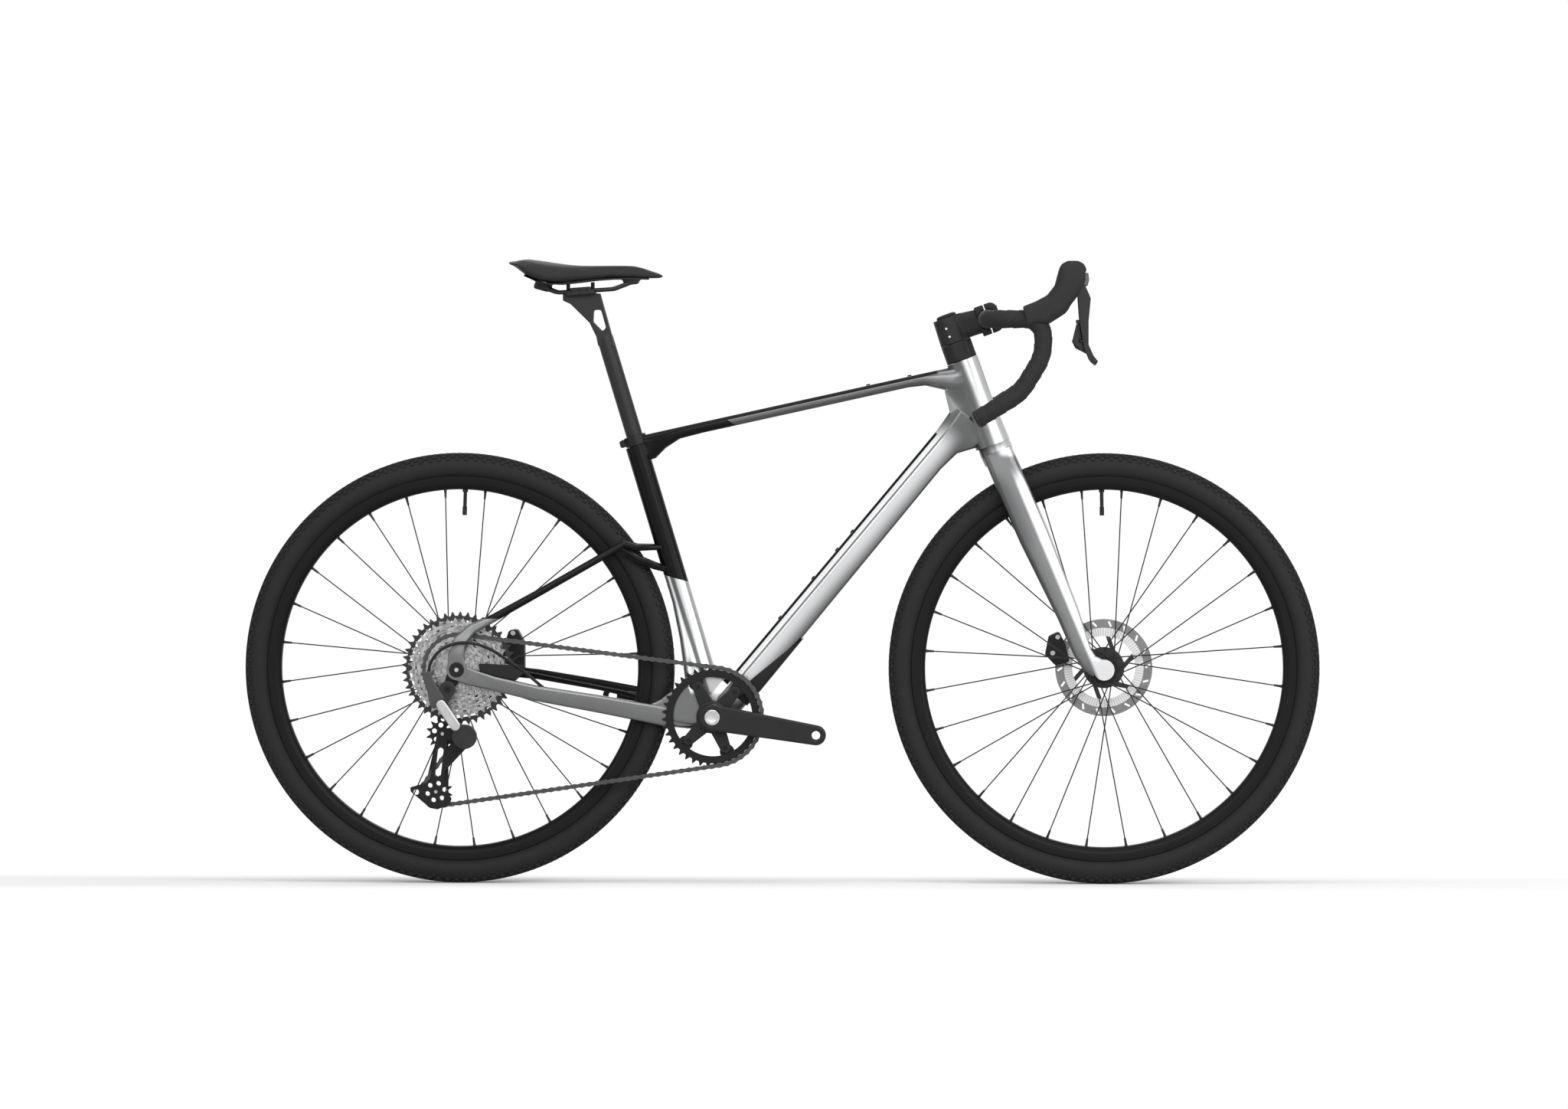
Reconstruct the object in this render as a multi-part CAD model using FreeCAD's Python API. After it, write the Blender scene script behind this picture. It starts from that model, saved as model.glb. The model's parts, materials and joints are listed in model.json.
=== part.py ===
import FreeCAD, Part
import math
import os

# A gravel bike. Millimetres and degrees. +X is forward, +Y is to the rider's left, +Z is up.
# The origin is on the ground, halfway between the axles.

# Driving dimensions: wheels
wheelbase = 1060.0
tyre_diameter = 708.0
tyre_width = 45.0
tyre_wall = 3.0
bead_diameter = 622.0
rim_width = 30.0
rim_wall = 2.5
rim_hook = 5.5
rim_depth = 22.8
rim_nose = 12.0
spoke_count = 28
spoke_crossings = 2
spoke_diameter = 2.0
nipple_diameter = 4.4
nipple_length = 13.0
valve_diameter = 6.0
valve_length = 42.0
axle_diameter = 12.0
front_spacing = 100.0
rear_spacing = 142.0
flange_radius = 23.0
flange_thickness = 3.2
hub_barrel_radius = 13.0
front_flange_right = 32.0
front_flange_left = 20.0
rear_flange_right = 19.0
rear_flange_left = 34.0
rotor_diameter = 160.0
rotor_thickness = 1.8
rotor_band = 28.0
rotor_slot_band = 15.0
rotor_spline_radius = 17.0
front_rotor_inset = 10.5
rear_rotor_inset = 15.3
lockring_radius = 22.0
lockring_thickness = 3.0

# Driving dimensions: frame and fork
bottom_bracket_drop = 78.0
chainstay_length = 425.7
seat_angle = 73.2
seat_tube_offset = 8.5
seat_tube_length = 464.0
seat_tube_front = 15.6
seat_tube_rear = 20.0
seat_tube_half_width = 17.5
shell_width = 73.0
shell_radius = 24.0
head_angle = 70.0
fork_offset = 46.0
axle_to_crown = 408.0
head_tube_length = 147.0
head_tube_top_radius = 26.3
head_tube_bottom_radius = 29.2
head_tube_bore_radius = 20.0
down_tube_half_width = 27.0
top_tube_depth = 17.6
top_tube_half_width = 21.0
stay_width = 12.0
dropout_thickness = 6.0
dropout_radius = 17.0
hanger_thickness = 3.0
guard_thickness = 2.4
fork_dropout_thickness = 13.0
steerer_radius = 14.3
steerer_base_radius = 19.05
bearing_height = 7.0
upper_bearing_radius = 20.9
lower_bearing_radius = 25.9

# Driving dimensions: seat
post_diameter = 27.2
post_exposed = 178.0
post_insert = 130.0
post_bore_depth = 260.0
collar_height = 17.0
collar_wall = 4.6
rail_diameter = 7.0
rail_spacing = 44.0
rail_tilt = 3.6
clamp_setback = 15.6
clamp_height = 91.6
shell_board = 3.0

# Driving dimensions: cockpit
spacer_stack = 31.0
spacer_half_depth = 25.4
spacer_half_width = 22.5
stem_height = 44.0
stem_length = 63.0
bar_clamp_diameter = 31.8
bar_clamp_half = 26.0
bar_diameter = 23.8
bar_drop_from_top = 25.5
bar_half_width = 208.0
bar_flare = 16.0
bar_reach = 91.0
bar_drop = 161.0
tape_thickness = 3.2
tape_start = 46.0
faceplate_gap = 2.0

# Driving dimensions: drivetrain
chain_pitch = 12.7
roller_diameter = 7.7
chain_inner_width = 2.2
chain_plate = 0.7
chain_plate_height = 8.0
ring_teeth = 40
pulley_teeth = 12
cog_teeth = (10, 12, 14, 16, 18, 21, 24, 28, 32, 36, 40, 45)
driven_cog = 28
cog_spacing = 3.5
cog_thickness = 1.5
chain_line = 43.5
crank_length = 172.5
crank_drop_angle = 9.7
crank_end_radius = 16.4
crank_end_thickness = 14.0
half_tread = 75.0
spindle_diameter = 29.0
pedal_hole_diameter = 14.2
bolt_circle_radius = 55.0
ring_thickness = 4.0
ring_inner_radius = 65.0
cup_width = 8.0
cup_radius = 22.0
freehub_radius = 17.4
cage_plate = 2.2
cage_length = 96.0
pulley_pin_diameter = 5.0
cage_pivot_diameter = 8.0
caliper_width = 34.0
pad_thickness = 2.2

# Clearances
running_gap = 0.05
seat_gap = 0.1
rest_gap = 0.3
pad_gap = 0.5


def vec(x, y, z):
    return FreeCAD.Vector(x, y, z)


ALONG = vec(0, 1, 0)


def turn(degrees):
    """Unit vector in the side view: 0 is forward, 90 is up."""
    angle = math.radians(degrees)
    return vec(math.cos(angle), 0, math.sin(angle))


def rod(start, end, radius):
    run = end - start
    return Part.makeCylinder(radius, run.Length, start, run)


def ring(start, end, outer, inner):
    return rod(start, end, outer).cut(rod(start, end, inner))


def cone(start, end, first, last):
    run = end - start
    return Part.makeCone(first, last, run.Length, start, run)


def joined(shapes):
    whole = shapes[0].multiFuse(shapes[1:])
    return whole.removeSplitter()


def outline(corners, radius):
    """Closed wire through the corners, each rounded by the radius."""
    count = len(corners)
    bends = []
    for i in range(count):
        corner = corners[i]
        back = (corners[i - 1] - corner).normalize()
        ahead = (corners[(i + 1) % count] - corner).normalize()
        half = back.getAngle(ahead) / 2
        reach = radius / math.tan(half)
        inward = (back + ahead).normalize()
        centre = corner + inward * (radius / math.sin(half))
        bends.append((corner + back * reach, centre - inward * radius, corner + ahead * reach))
    edges = []
    for i in range(count):
        first, top, last = bends[i]
        edges.append(Part.Arc(first, top, last).toShape())
        edges.append(Part.LineSegment(last, bends[(i + 1) % count][0]).toShape())
    return Part.Wire(edges)


def polygon(points):
    return Part.makePolygon(points + [points[0]])


def prism(corners, radius, thickness):
    """Plate with a rounded outline, given in the side view, thickened along Y."""
    return Part.Face(outline(corners, radius)).extrude(ALONG * thickness)


def section(centre, across, up, half_width, half_depth, roundness):
    corners = []
    for side, rise in ((1, 1), (-1, 1), (-1, -1), (1, -1)):
        corners.append(centre + across * (side * half_width) + up * (rise * half_depth))
    return outline(corners, roundness * min(half_width, half_depth))


def loft(sections):
    """Straight-sided body through the sections."""
    return Part.makeLoft(sections, True, True)


def stay(stations, roundness):
    """Loft along a bent centre line: each station is a centre, a width and a depth."""
    sections = []
    count = len(stations)
    for i in range(count):
        centre, width, depth = stations[i]
        before = stations[max(i - 1, 0)][0]
        after = stations[min(i + 1, count - 1)][0]
        run = (after - before).normalize()
        up = run.cross(ALONG)
        up.normalize()
        across = up.cross(run)
        sections.append(section(centre, across, up, width / 2, depth / 2, roundness))
    return loft(sections)


def bent_path(points, radii):
    """Straight runs joined by tangent arcs, with one radius for each inner point."""
    edges = []
    here = points[0]
    for i in range(1, len(points) - 1):
        corner = points[i]
        back = (points[i - 1] - corner).normalize()
        ahead = (points[i + 1] - corner).normalize()
        half = back.getAngle(ahead) / 2
        reach = radii[i - 1] / math.tan(half)
        inward = (back + ahead).normalize()
        middle = corner + inward * (radii[i - 1] / math.sin(half) - radii[i - 1])
        first = corner + back * reach
        last = corner + ahead * reach
        edges.append(Part.LineSegment(here, first).toShape())
        edges.append(Part.Arc(first, middle, last).toShape())
        here = last
    edges.append(Part.LineSegment(here, points[-1]).toShape())
    return Part.Wire(edges)


def swept(path, radius):
    first = path.Edges[0]
    start = first.valueAt(first.FirstParameter)
    direction = first.tangentAt(first.FirstParameter)
    circle = Part.Wire(Part.makeCircle(radius, start, direction))
    return path.makePipeShell([circle], True, False)


def turned(centre, profile):
    """Body of revolution about an axle along Y: the profile is a list of (y, radius) corners."""
    points = [centre + vec(0, y, radius) for y, radius in profile]
    return Part.Face(polygon(points)).revolve(centre, ALONG, 360)


def strip(start, end, first_radius, last_radius, near, far):
    """Flat link with round ends in the side view, between two places along Y."""
    run = end - start
    run.normalize()
    across = run.cross(ALONG)
    corners = [
        start + across * first_radius,
        end + across * last_radius,
        end - across * last_radius,
        start - across * first_radius,
    ]
    plate = Part.Face(polygon(corners)).extrude(ALONG * (far - near))
    ends = [
        rod(start, start + ALONG * (far - near), first_radius),
        rod(end, end + ALONG * (far - near), last_radius),
    ]
    whole = joined([plate] + ends)
    whole.translate(ALONG * near)
    return whole


def save(name, *solids):
    shape = solids[0] if len(solids) == 1 else Part.makeCompound(list(solids))
    shape.exportStep("parts/" + name + ".step")


os.makedirs("parts", exist_ok=True)

# Layout points in the middle plane, from the driving dimensions

tyre_radius = tyre_diameter / 2
rear_axle = vec(-wheelbase / 2, 0, tyre_radius)
front_axle = vec(wheelbase / 2, 0, tyre_radius)
bracket_run = math.sqrt(chainstay_length ** 2 - bottom_bracket_drop ** 2)
bracket = rear_axle + vec(bracket_run, 0, -bottom_bracket_drop)

steer_up = turn(180 - head_angle)
steer_ahead = turn(90 - head_angle)
crown = front_axle - steer_ahead * fork_offset + steer_up * axle_to_crown

seat_up = turn(180 - seat_angle)
seat_ahead = turn(90 - seat_angle)
seat_base = bracket + vec(seat_tube_offset, 0, 0)


def steer(rise, ahead, side):
    """Point in the fork's own frame: up the steering axis from the crown, ahead of it, and to the left."""
    return crown + steer_up * rise + steer_ahead * ahead + ALONG * side


def seat(rise, ahead, side):
    """Point in the seat tube's own frame, up from the height of the bottom bracket."""
    return seat_base + seat_up * rise + seat_ahead * ahead + ALONG * side


# Frame: one moulded carbon piece

down_tube_foot = bracket + vec(seat_tube_offset - 1.5, 0, 0)
down_tube_run = steer(head_tube_length * 0.473, 0, 0) - down_tube_foot
down_tube_length = down_tube_run.Length
down_tube_run.normalize()
down_tube_up = down_tube_run.cross(ALONG)


def down_tube_point(along, up, side):
    return down_tube_foot + down_tube_run * along + down_tube_up * up + ALONG * side


def down_tube_sections(skin):
    """Bevelled sections from the bottom bracket to the head tube, grown by the skin."""
    stations = (
        (-0.012, 19.0, -19.0, 0.95),
        (0.035, 23.5, -23.5, 1.0),
        (0.12, 25.2, -25.0, 1.0),
        (0.82, 25.2, -20.6, 1.0),
        (0.875, 25.4, -24.5, 1.0),
        (0.915, 27.0, -42.0, 0.98),
        (0.96, 30.0, -48.0, 0.95),
    )
    sections = []
    for share, top, bottom, wide in stations:
        centre = down_tube_point(down_tube_length * share, 0, 0)
        half = down_tube_half_width * wide + skin
        crown_half = half * 0.55
        base_half = half * 0.72
        crease = top - 14.0
        side_view = ((crown_half, top + skin), (half, crease), (base_half, bottom - skin))
        corners = [centre + ALONG * y + down_tube_up * z for y, z in side_view]
        corners += [centre - ALONG * y + down_tube_up * z for y, z in reversed(side_view)]
        sections.append(outline(corners, 7.0))
    return sections


def top_tube():
    """Thin and flat between a deep root at the seat tube and another at the head tube."""
    rear_top = seat(seat_tube_length + 14.0, 12.0, 0)
    front_top = steer(head_tube_length - 3.0, -head_tube_top_radius, 0)
    run = front_top - rear_top
    length = run.Length
    run.normalize()
    up = run.cross(ALONG)
    stations = (
        (-10.0, 44.0, 0.68),
        (14.0, 42.0, 0.74),
        (34.0, 29.0, 0.86),
        (60.0, top_tube_depth + 1.5, 0.96),
        (100.0, top_tube_depth, 1.0),
        (length - 70.0, top_tube_depth, 1.0),
        (length - 42.0, top_tube_depth + 3.0, 1.05),
        (length - 20.0, 31.0, 1.12),
        (length + 4.0, 43.0, 1.16),
        (length + 20.0, 46.0, 1.14),
    )
    sections = []
    for distance, depth, wide in stations:
        centre = rear_top + run * distance - up * (depth / 2)
        sections.append(section(centre, ALONG, up, top_tube_half_width * wide, depth / 2, 0.8))
    return loft(sections)


def seat_tube():
    """Round above for the post, and swelling backwards into the bottom bracket."""
    stations = (
        (10.0, 16.0, 40.0, 28.0),
        (50.0, seat_tube_front, 40.0, 25.0),
        (88.0, seat_tube_front, 34.0, 21.0),
        (140.0, seat_tube_front, 25.5, 18.5),
        (200.0, seat_tube_front, seat_tube_rear, seat_tube_half_width),
        (seat_tube_length, seat_tube_front, seat_tube_rear, seat_tube_half_width),
    )
    sections = []
    for rise, front, rear, half_width in stations:
        centre = seat(rise, (front - rear) / 2, 0)
        sections.append(section(centre, ALONG, seat_ahead, half_width, (front + rear) / 2, 0.88))
    return loft(sections)


dropout_inner = rear_spacing / 2
dropout_right = dropout_inner + hanger_thickness
dropout_middle = dropout_right + dropout_thickness / 2


def rear_point(ahead, side, rise):
    """Point measured from the rear axle."""
    return rear_axle + vec(ahead, side, rise)


def seatstay(side):
    """From the dropout up and round, then straight to the seat tube."""
    joint = seat(292.0, -8.0, 0) - rear_axle
    stations = [
        (rear_point(-1, side * dropout_middle, -2), dropout_thickness, 30.0),
        (rear_point(-1, side * dropout_middle, 24), 7.0, 26.0),
        (rear_point(6, side * (dropout_middle - 2.5), 48), 9.0, 22.0),
        (rear_point(25, side * (dropout_middle - 6.5), 67), 11.0, 17.0),
        (rear_point(51, side * (dropout_middle - 10.0), 79.5), stay_width, 13.5),
        (rear_point(130, side * 57.0, 123.5), stay_width, 12.0),
        (rear_point(230, side * 42.0, 180.5), stay_width, 12.0),
        (rear_point(272, side * 36.0, 205), stay_width, 12.0),
        (rear_point(joint.x - 44, side * 31.0, joint.z - 0.5), stay_width, 11.0),
        (rear_point(joint.x - 18, side * 20.0, joint.z), 11.0, 10.0),
        (rear_point(joint.x, side * 8.0, joint.z), 11.0, 10.0),
    ]
    return stay(stations, 0.8)


def stay_branch(side):
    """Lower arm of the split between seatstay and seat tube."""
    joint = seat(254.0, -10.0, 0) - rear_axle
    stations = [
        (rear_point(262, side * 37.0, 199), 10.0, 11.0),
        (rear_point(joint.x - 50, side * 32.5, joint.z + 17), 10.0, 11.0),
        (rear_point(joint.x - 22, side * 22.0, joint.z + 6), 10.0, 11.0),
        (rear_point(joint.x, side * 8.0, joint.z), 10.0, 11.0),
    ]
    return stay(stations, 0.8)


def bracket_point(ahead, side, rise):
    """Point measured from the bottom bracket."""
    return bracket + vec(ahead, side, rise)


def right_chainstay():
    """Dropped stay: it leaves the dropout below the chain and passes between tyre and chainring."""
    stations = [
        (rear_point(1, -dropout_middle, -4), dropout_thickness, 30.0),
        (rear_point(25, 1.0 - dropout_middle, -13), 8.0, 27.0),
        (rear_point(60, 6.0 - dropout_middle, -22.5), stay_width, 24.0),
        (rear_point(126, -61.0, -38.5), 14.0, 25.5),
        (bracket_point(-188.5, -46.0, 21), 14.0, 29.0),
        (bracket_point(-115.5, -36.0, 7), 13.0, 31.0),
        (bracket_point(-78.5, -33.2, 0), stay_width, 32.0),
        (bracket_point(-38.5, -28.0, -4), 16.0, 33.0),
        (bracket_point(-6.5, -20.0, -3), 20.0, 34.0),
    ]
    return stay(stations, 0.7)


def left_chainstay():
    """Higher and slimmer than the right one, with the flat seat of the caliper on its top."""
    stations = [
        (rear_point(1, dropout_middle - 1.0, -2), dropout_thickness + 2.0, 30.0),
        (rear_point(25, dropout_middle - 2.5, -4), 10.0, 24.0),
        (rear_point(60, dropout_middle - 8.0, -7), 14.0, 18.0),
        (rear_point(126, 60.0, -13), 14.0, 17.0),
        (bracket_point(-188.5, 46.0, 48), 14.0, 18.0),
        (bracket_point(-123.5, 37.0, 35), 13.0, 21.0),
        (bracket_point(-78.5, 33.2, 24), stay_width, 25.0),
        (bracket_point(-38.5, 28.0, 12), 16.0, 30.0),
        (bracket_point(-6.5, 20.0, 4), 20.0, 34.0),
    ]
    return stay(stations, 0.7)


def head_tube():
    waist = steer(head_tube_length * 0.55, 0, 0)
    low = cone(steer(0, 0, 0), waist, head_tube_bottom_radius, head_tube_top_radius - 0.8)
    high = cone(waist, steer(head_tube_length, 0, 0), head_tube_top_radius - 0.8, head_tube_top_radius)
    return low.fuse(high)


def head_gusset():
    """Web behind the head tube, where top tube and down tube meet."""
    corners = [
        steer(head_tube_length - 18, -18, -19),
        steer(head_tube_length - 36, -44, -19),
        steer(head_tube_length - 72, -48, -19),
        steer(head_tube_length - 100, -44, -19),
        steer(head_tube_length - 90, -12, -19),
    ]
    return prism(corners, 7.0, 38.0)


down_tube = loft(down_tube_sections(0.0))
shell_right = bracket - ALONG * (shell_width / 2)
shell_left = bracket + ALONG * (shell_width / 2)
frame_tubes = [
    rod(shell_right, shell_left, shell_radius),
    down_tube,
    seat_tube(),
    top_tube(),
    head_tube(),
    head_gusset(),
    right_chainstay(),
    left_chainstay(),
]
for side in (-1, 1):
    frame_tubes.append(seatstay(side))
    frame_tubes.append(stay_branch(side))
right_boss = rod(
    rear_axle - ALONG * (dropout_right + dropout_thickness),
    rear_axle - ALONG * dropout_right,
    dropout_radius,
)
left_boss = rod(
    rear_axle + ALONG * dropout_inner,
    rear_axle + ALONG * (dropout_right + dropout_thickness),
    dropout_radius,
)
frame_tubes += [right_boss, left_boss]
frame_solid = joined(frame_tubes)

# Frame: bores and seats

post_radius = post_diameter / 2
axle_radius = axle_diameter / 2
spindle_radius = spindle_diameter / 2
collar_radius = post_radius + collar_wall
shell_bore_radius = shell_radius - 5.0
bearing_inset = 1.0

hanger_eye = rear_axle + vec(-14.6, 0, -31.0)
hanger_root_radius = 13.5
hanger_eye_radius = 9.0
hanger_bolt_radius = 4.0
right_face = dropout_right + dropout_thickness
axle_head_radius = 10.0
axle_head_height = 3.5
hanger_room = strip(
    rear_axle,
    hanger_eye,
    hanger_root_radius + rest_gap,
    hanger_eye_radius + rest_gap,
    -dropout_right,
    4.0 - dropout_inner,
)

housing_radius = 2.5
housing_route = [
    rear_point(146, -59.5, -34),
    rear_point(130, -61.5, -21),
    rear_point(112, -64.5, -5),
    rear_point(88, -70, 12),
    rear_point(60, -78, 32),
    rear_point(30, -86, 44),
    rear_point(0, -90, 45),
    rear_point(-26, -91, 34),
    rear_point(-42, -91, 14),
    rear_point(-46, -91, -6),
]


def cord_path(points):
    """Route of a cord: every bend is as wide as its two runs allow."""
    radii = []
    for i in range(1, len(points) - 1):
        back = points[i - 1] - points[i]
        ahead = points[i + 1] - points[i]
        half_turn = (math.pi - back.getAngle(ahead)) / 2
        radii.append(0.45 * min(back.Length, ahead.Length) / math.tan(half_turn))
    return bent_path(points, radii)


housing_path = cord_path(housing_route)
seat_tube_top = seat(seat_tube_length, 0, 0)
bores = [
    rod(seat(seat_tube_length - post_bore_depth, 0, 0), seat_tube_top, post_radius + running_gap),
    rod(seat_tube_top, seat(seat_tube_length + 60, 0, 0), collar_radius + rest_gap),
    rod(steer(-1, 0, 0), steer(head_tube_length + 1, 0, 0), head_tube_bore_radius),
    rod(steer(-1, 0, 0), steer(bearing_inset + bearing_height, 0, 0), lower_bearing_radius + seat_gap),
    rod(
        steer(head_tube_length - bearing_inset - bearing_height, 0, 0),
        steer(head_tube_length + 40, 0, 0),
        upper_bearing_radius + seat_gap,
    ),
    rod(shell_right - ALONG, shell_left + ALONG, shell_bore_radius),
    rod(rear_axle - ALONG * 100, rear_axle + ALONG * 100, axle_radius + running_gap),
    rod(rear_axle - ALONG * 100, rear_axle - ALONG * right_face, axle_head_radius + rest_gap),
    swept(housing_path, housing_radius + seat_gap),
    hanger_room,
    rod(hanger_eye - ALONG * 90, hanger_eye - ALONG * dropout_inner, hanger_eye_radius + rest_gap),
]
frame_solid = frame_solid.cut(bores)
save("frame", frame_solid)
save("shift_housing", swept(housing_path, housing_radius))

# Seat collar: a split ring with a lug behind

collar_foot = seat(seat_tube_length + rest_gap, 0, 0)
collar_top = seat(seat_tube_length + collar_height, 0, 0)
lug_half_width = 7.0
lug_reach = 9.0
slot_half = 1.0
lug_corners = [
    seat(seat_tube_length + 3, 3 - collar_radius, -lug_half_width),
    seat(seat_tube_length + collar_height - 2, 3 - collar_radius, -lug_half_width),
    seat(seat_tube_length + collar_height - 2, -collar_radius - lug_reach, -lug_half_width),
    seat(seat_tube_length + 3, -collar_radius - lug_reach, -lug_half_width),
]
slot_corners = [
    seat(seat_tube_length - 2, -post_radius + 4, -slot_half),
    seat(seat_tube_length + collar_height + 2, -post_radius + 4, -slot_half),
    seat(seat_tube_length + collar_height + 2, -collar_radius - lug_reach - 2, -slot_half),
    seat(seat_tube_length - 2, -collar_radius - lug_reach - 2, -slot_half),
]
collar = rod(collar_foot, collar_top, collar_radius).fuse(prism(lug_corners, 3.0, 2 * lug_half_width))
collar_cuts = [
    rod(collar_foot - seat_up, collar_top + seat_up, post_radius + running_gap),
    prism(slot_corners, 0.4, 2 * slot_half),
]
save("seat_collar", collar.cut(collar_cuts))

# Guards: a moulded skin under the down tube, and a rubber block on the right chainstay

guard_skin = loft(down_tube_sections(guard_thickness)).cut(loft(down_tube_sections(seat_gap)))
guard_window = [
    down_tube_point(44, 2, -60),
    down_tube_point(70, -2, -60),
    down_tube_point(187, -25, -60),
    down_tube_point(187, -45, -60),
    down_tube_point(44, -45, -60),
]
save("downtube_guard", guard_skin.common(prism(guard_window, 1.0, 120.0)))

slap_guard = prism(
    [
        rear_point(34, -75, 10),
        rear_point(106, -75, 6.5),
        rear_point(111, -75, -5),
        rear_point(92, -75, -22),
        rear_point(42, -75, -14),
    ],
    3.0,
    10.5,
)
slap_guard.rotate(rear_point(60, -70, 0), vec(0, 0, 1), 8.6)
save("chainstay_guard", slap_guard.cut(frame_solid).cut(swept(housing_path, housing_radius + rest_gap)))

# Bottom bracket cups with their bearings, and the headset bearings


def bracket_cup(side):
    inner = side * (shell_width / 2 - 15)
    face = side * shell_width / 2
    outer = side * (shell_width / 2 + cup_width)
    floor = side * (shell_width / 2 + 0.6)
    bearing_radius = cup_radius - 2.0
    thread_radius = shell_bore_radius - seat_gap
    profile = [
        (inner, thread_radius - 1.6),
        (inner, thread_radius),
        (face, thread_radius),
        (face, cup_radius),
        (outer, cup_radius),
        (outer, bearing_radius),
        (floor, bearing_radius),
        (floor, thread_radius - 1.6),
    ]
    bearing = ring(
        bracket + ALONG * (floor + side * seat_gap),
        bracket + ALONG * (outer - side * 0.5),
        bearing_radius - seat_gap,
        spindle_radius + running_gap,
    )
    return [turned(bracket, profile), bearing]


save("bottom_bracket", *bracket_cup(-1), *bracket_cup(1))
save(
    "headset_bearings",
    ring(
        steer(bearing_inset, 0, 0),
        steer(bearing_inset + bearing_height - seat_gap, 0, 0),
        lower_bearing_radius,
        steerer_base_radius + running_gap,
    ),
    ring(
        steer(head_tube_length - bearing_inset - bearing_height + seat_gap, 0, 0),
        steer(head_tube_length - bearing_inset, 0, 0),
        upper_bearing_radius,
        steerer_radius + running_gap,
    ),
)

# Rear axle and derailleur hanger

rear_axle_bar = rod(rear_axle - ALONG * right_face, rear_axle + ALONG * right_face, axle_radius)
rear_axle_head = rod(
    rear_axle - ALONG * (right_face + axle_head_height), rear_axle - ALONG * right_face, axle_head_radius
)
rear_axle_key = rod(
    rear_axle - ALONG * (right_face + axle_head_height + 1), rear_axle - ALONG * (right_face - 6), 3.0
)
save("rear_axle", rear_axle_bar.fuse(rear_axle_head).cut(rear_axle_key))

hanger = strip(
    rear_axle, hanger_eye, hanger_root_radius, hanger_eye_radius, -dropout_right, -dropout_inner
)
hanger = hanger.fuse(
    rod(hanger_eye - ALONG * right_face, hanger_eye - ALONG * dropout_inner, hanger_eye_radius)
)
hanger_cuts = [
    rod(rear_axle - ALONG * 100, rear_axle, axle_radius + running_gap),
    rod(hanger_eye - ALONG * 100, hanger_eye, hanger_bolt_radius + running_gap),
]
save("derailleur_hanger", hanger.cut(hanger_cuts))

# Wheels

rim_edge = bead_diameter / 2 + rim_hook
rim_bed = bead_diameter / 2 - 1.5
rim_inner = rim_edge - rim_depth
half_rim = rim_width / 2
rim_shoulder = rim_edge - 0.55 * rim_depth


def half_turned(axle, half_profile):
    """Body of revolution whose profile is the same on both sides of the middle plane."""
    return turned(axle, half_profile + [(-y, radius) for y, radius in reversed(half_profile)])


def tyre(axle):
    half = tyre_width / 2
    seat_half = half_rim - rim_wall - seat_gap
    widest = rim_edge + 0.4 * (tyre_radius - rim_edge)
    profile = [
        (seat_half - tyre_wall, rim_bed + seat_gap),
        (seat_half, rim_bed + seat_gap),
        (seat_half, rim_edge + rest_gap),
        (half * 0.88, widest - 9.5),
        (half, widest),
        (half * 0.95, widest + 7.5),
        (half * 0.74, widest + 15.5),
        (half * 0.36, tyre_radius - 1.2),
        (half * 0.16, tyre_radius),
    ]
    inside = [
        (seat_half - tyre_wall, rim_bed + seat_gap),
        (seat_half - tyre_wall, rim_edge + 2.0),
        (half * 0.88 - tyre_wall, widest - 6.5),
        (half * 0.84, widest + 6.0),
        (half * 0.4, tyre_radius - 2 * tyre_wall),
    ]
    outer = half_turned(axle, profile)
    return outer.cut(half_turned(axle, inside))


def rim(axle):
    profile = [
        (half_rim - rim_wall - 6, rim_bed - 4),
        (half_rim - rim_wall - 3.5, rim_bed),
        (half_rim - rim_wall, rim_bed),
        (half_rim - rim_wall, rim_edge),
        (half_rim, rim_edge),
        (half_rim, rim_shoulder),
        (rim_nose, rim_shoulder - 5),
        (rim_nose - 5, rim_inner),
    ]
    return half_turned(axle, profile)


def bar_between(start, end, half_width, half_thickness):
    """Flat bar whose width lies in the side view."""
    run = end - start
    across = run.cross(ALONG).normalize()
    up = run.cross(across).normalize()
    corners = []
    for a, b in ((1, 1), (-1, 1), (-1, -1), (1, -1)):
        corners.append(start + across * (a * half_width) + up * (b * half_thickness))
    return Part.Face(polygon(corners)).extrude(run)


def spokes(axle, right, left, wheel_turn):
    """Crossed bladed spokes with square nipples, shared by turns between the two flanges."""
    pitch = 360.0 / spoke_count
    lead = 2 * spoke_crossings * pitch
    half_blade = spoke_diameter / 2
    half_thickness = 0.6 * half_blade
    spoke_lean = 1.5
    flange_run = 0.36 * flange_radius
    solids = []
    for i in range(spoke_count):
        rim_angle = 90 + wheel_turn + (i + 0.5) * pitch
        flange, lean = (left, spoke_lean) if i % 2 else (-right, -spoke_lean)
        trail = 1 if i % 4 < 2 else -1
        outside = trail * flange > 0
        drift = flange_run * (abs(flange) - spoke_lean) / rim_inner if outside else 0.0
        beside = flange + trail * (flange_thickness / 2 + half_thickness + seat_gap + drift)
        start = axle + turn(rim_angle + trail * lead) * (flange_radius - 3) + ALONG * beside
        end = axle + turn(rim_angle) * (rim_inner - 0.45) + ALONG * lean
        run = (end - start).normalize()
        blade = bar_between(start, end, half_blade, half_thickness)
        nipple = bar_between(end - run * nipple_length, end, nipple_diameter / 2, nipple_diameter / 2)
        solids.append(blade.fuse(nipple))
    return solids


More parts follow.
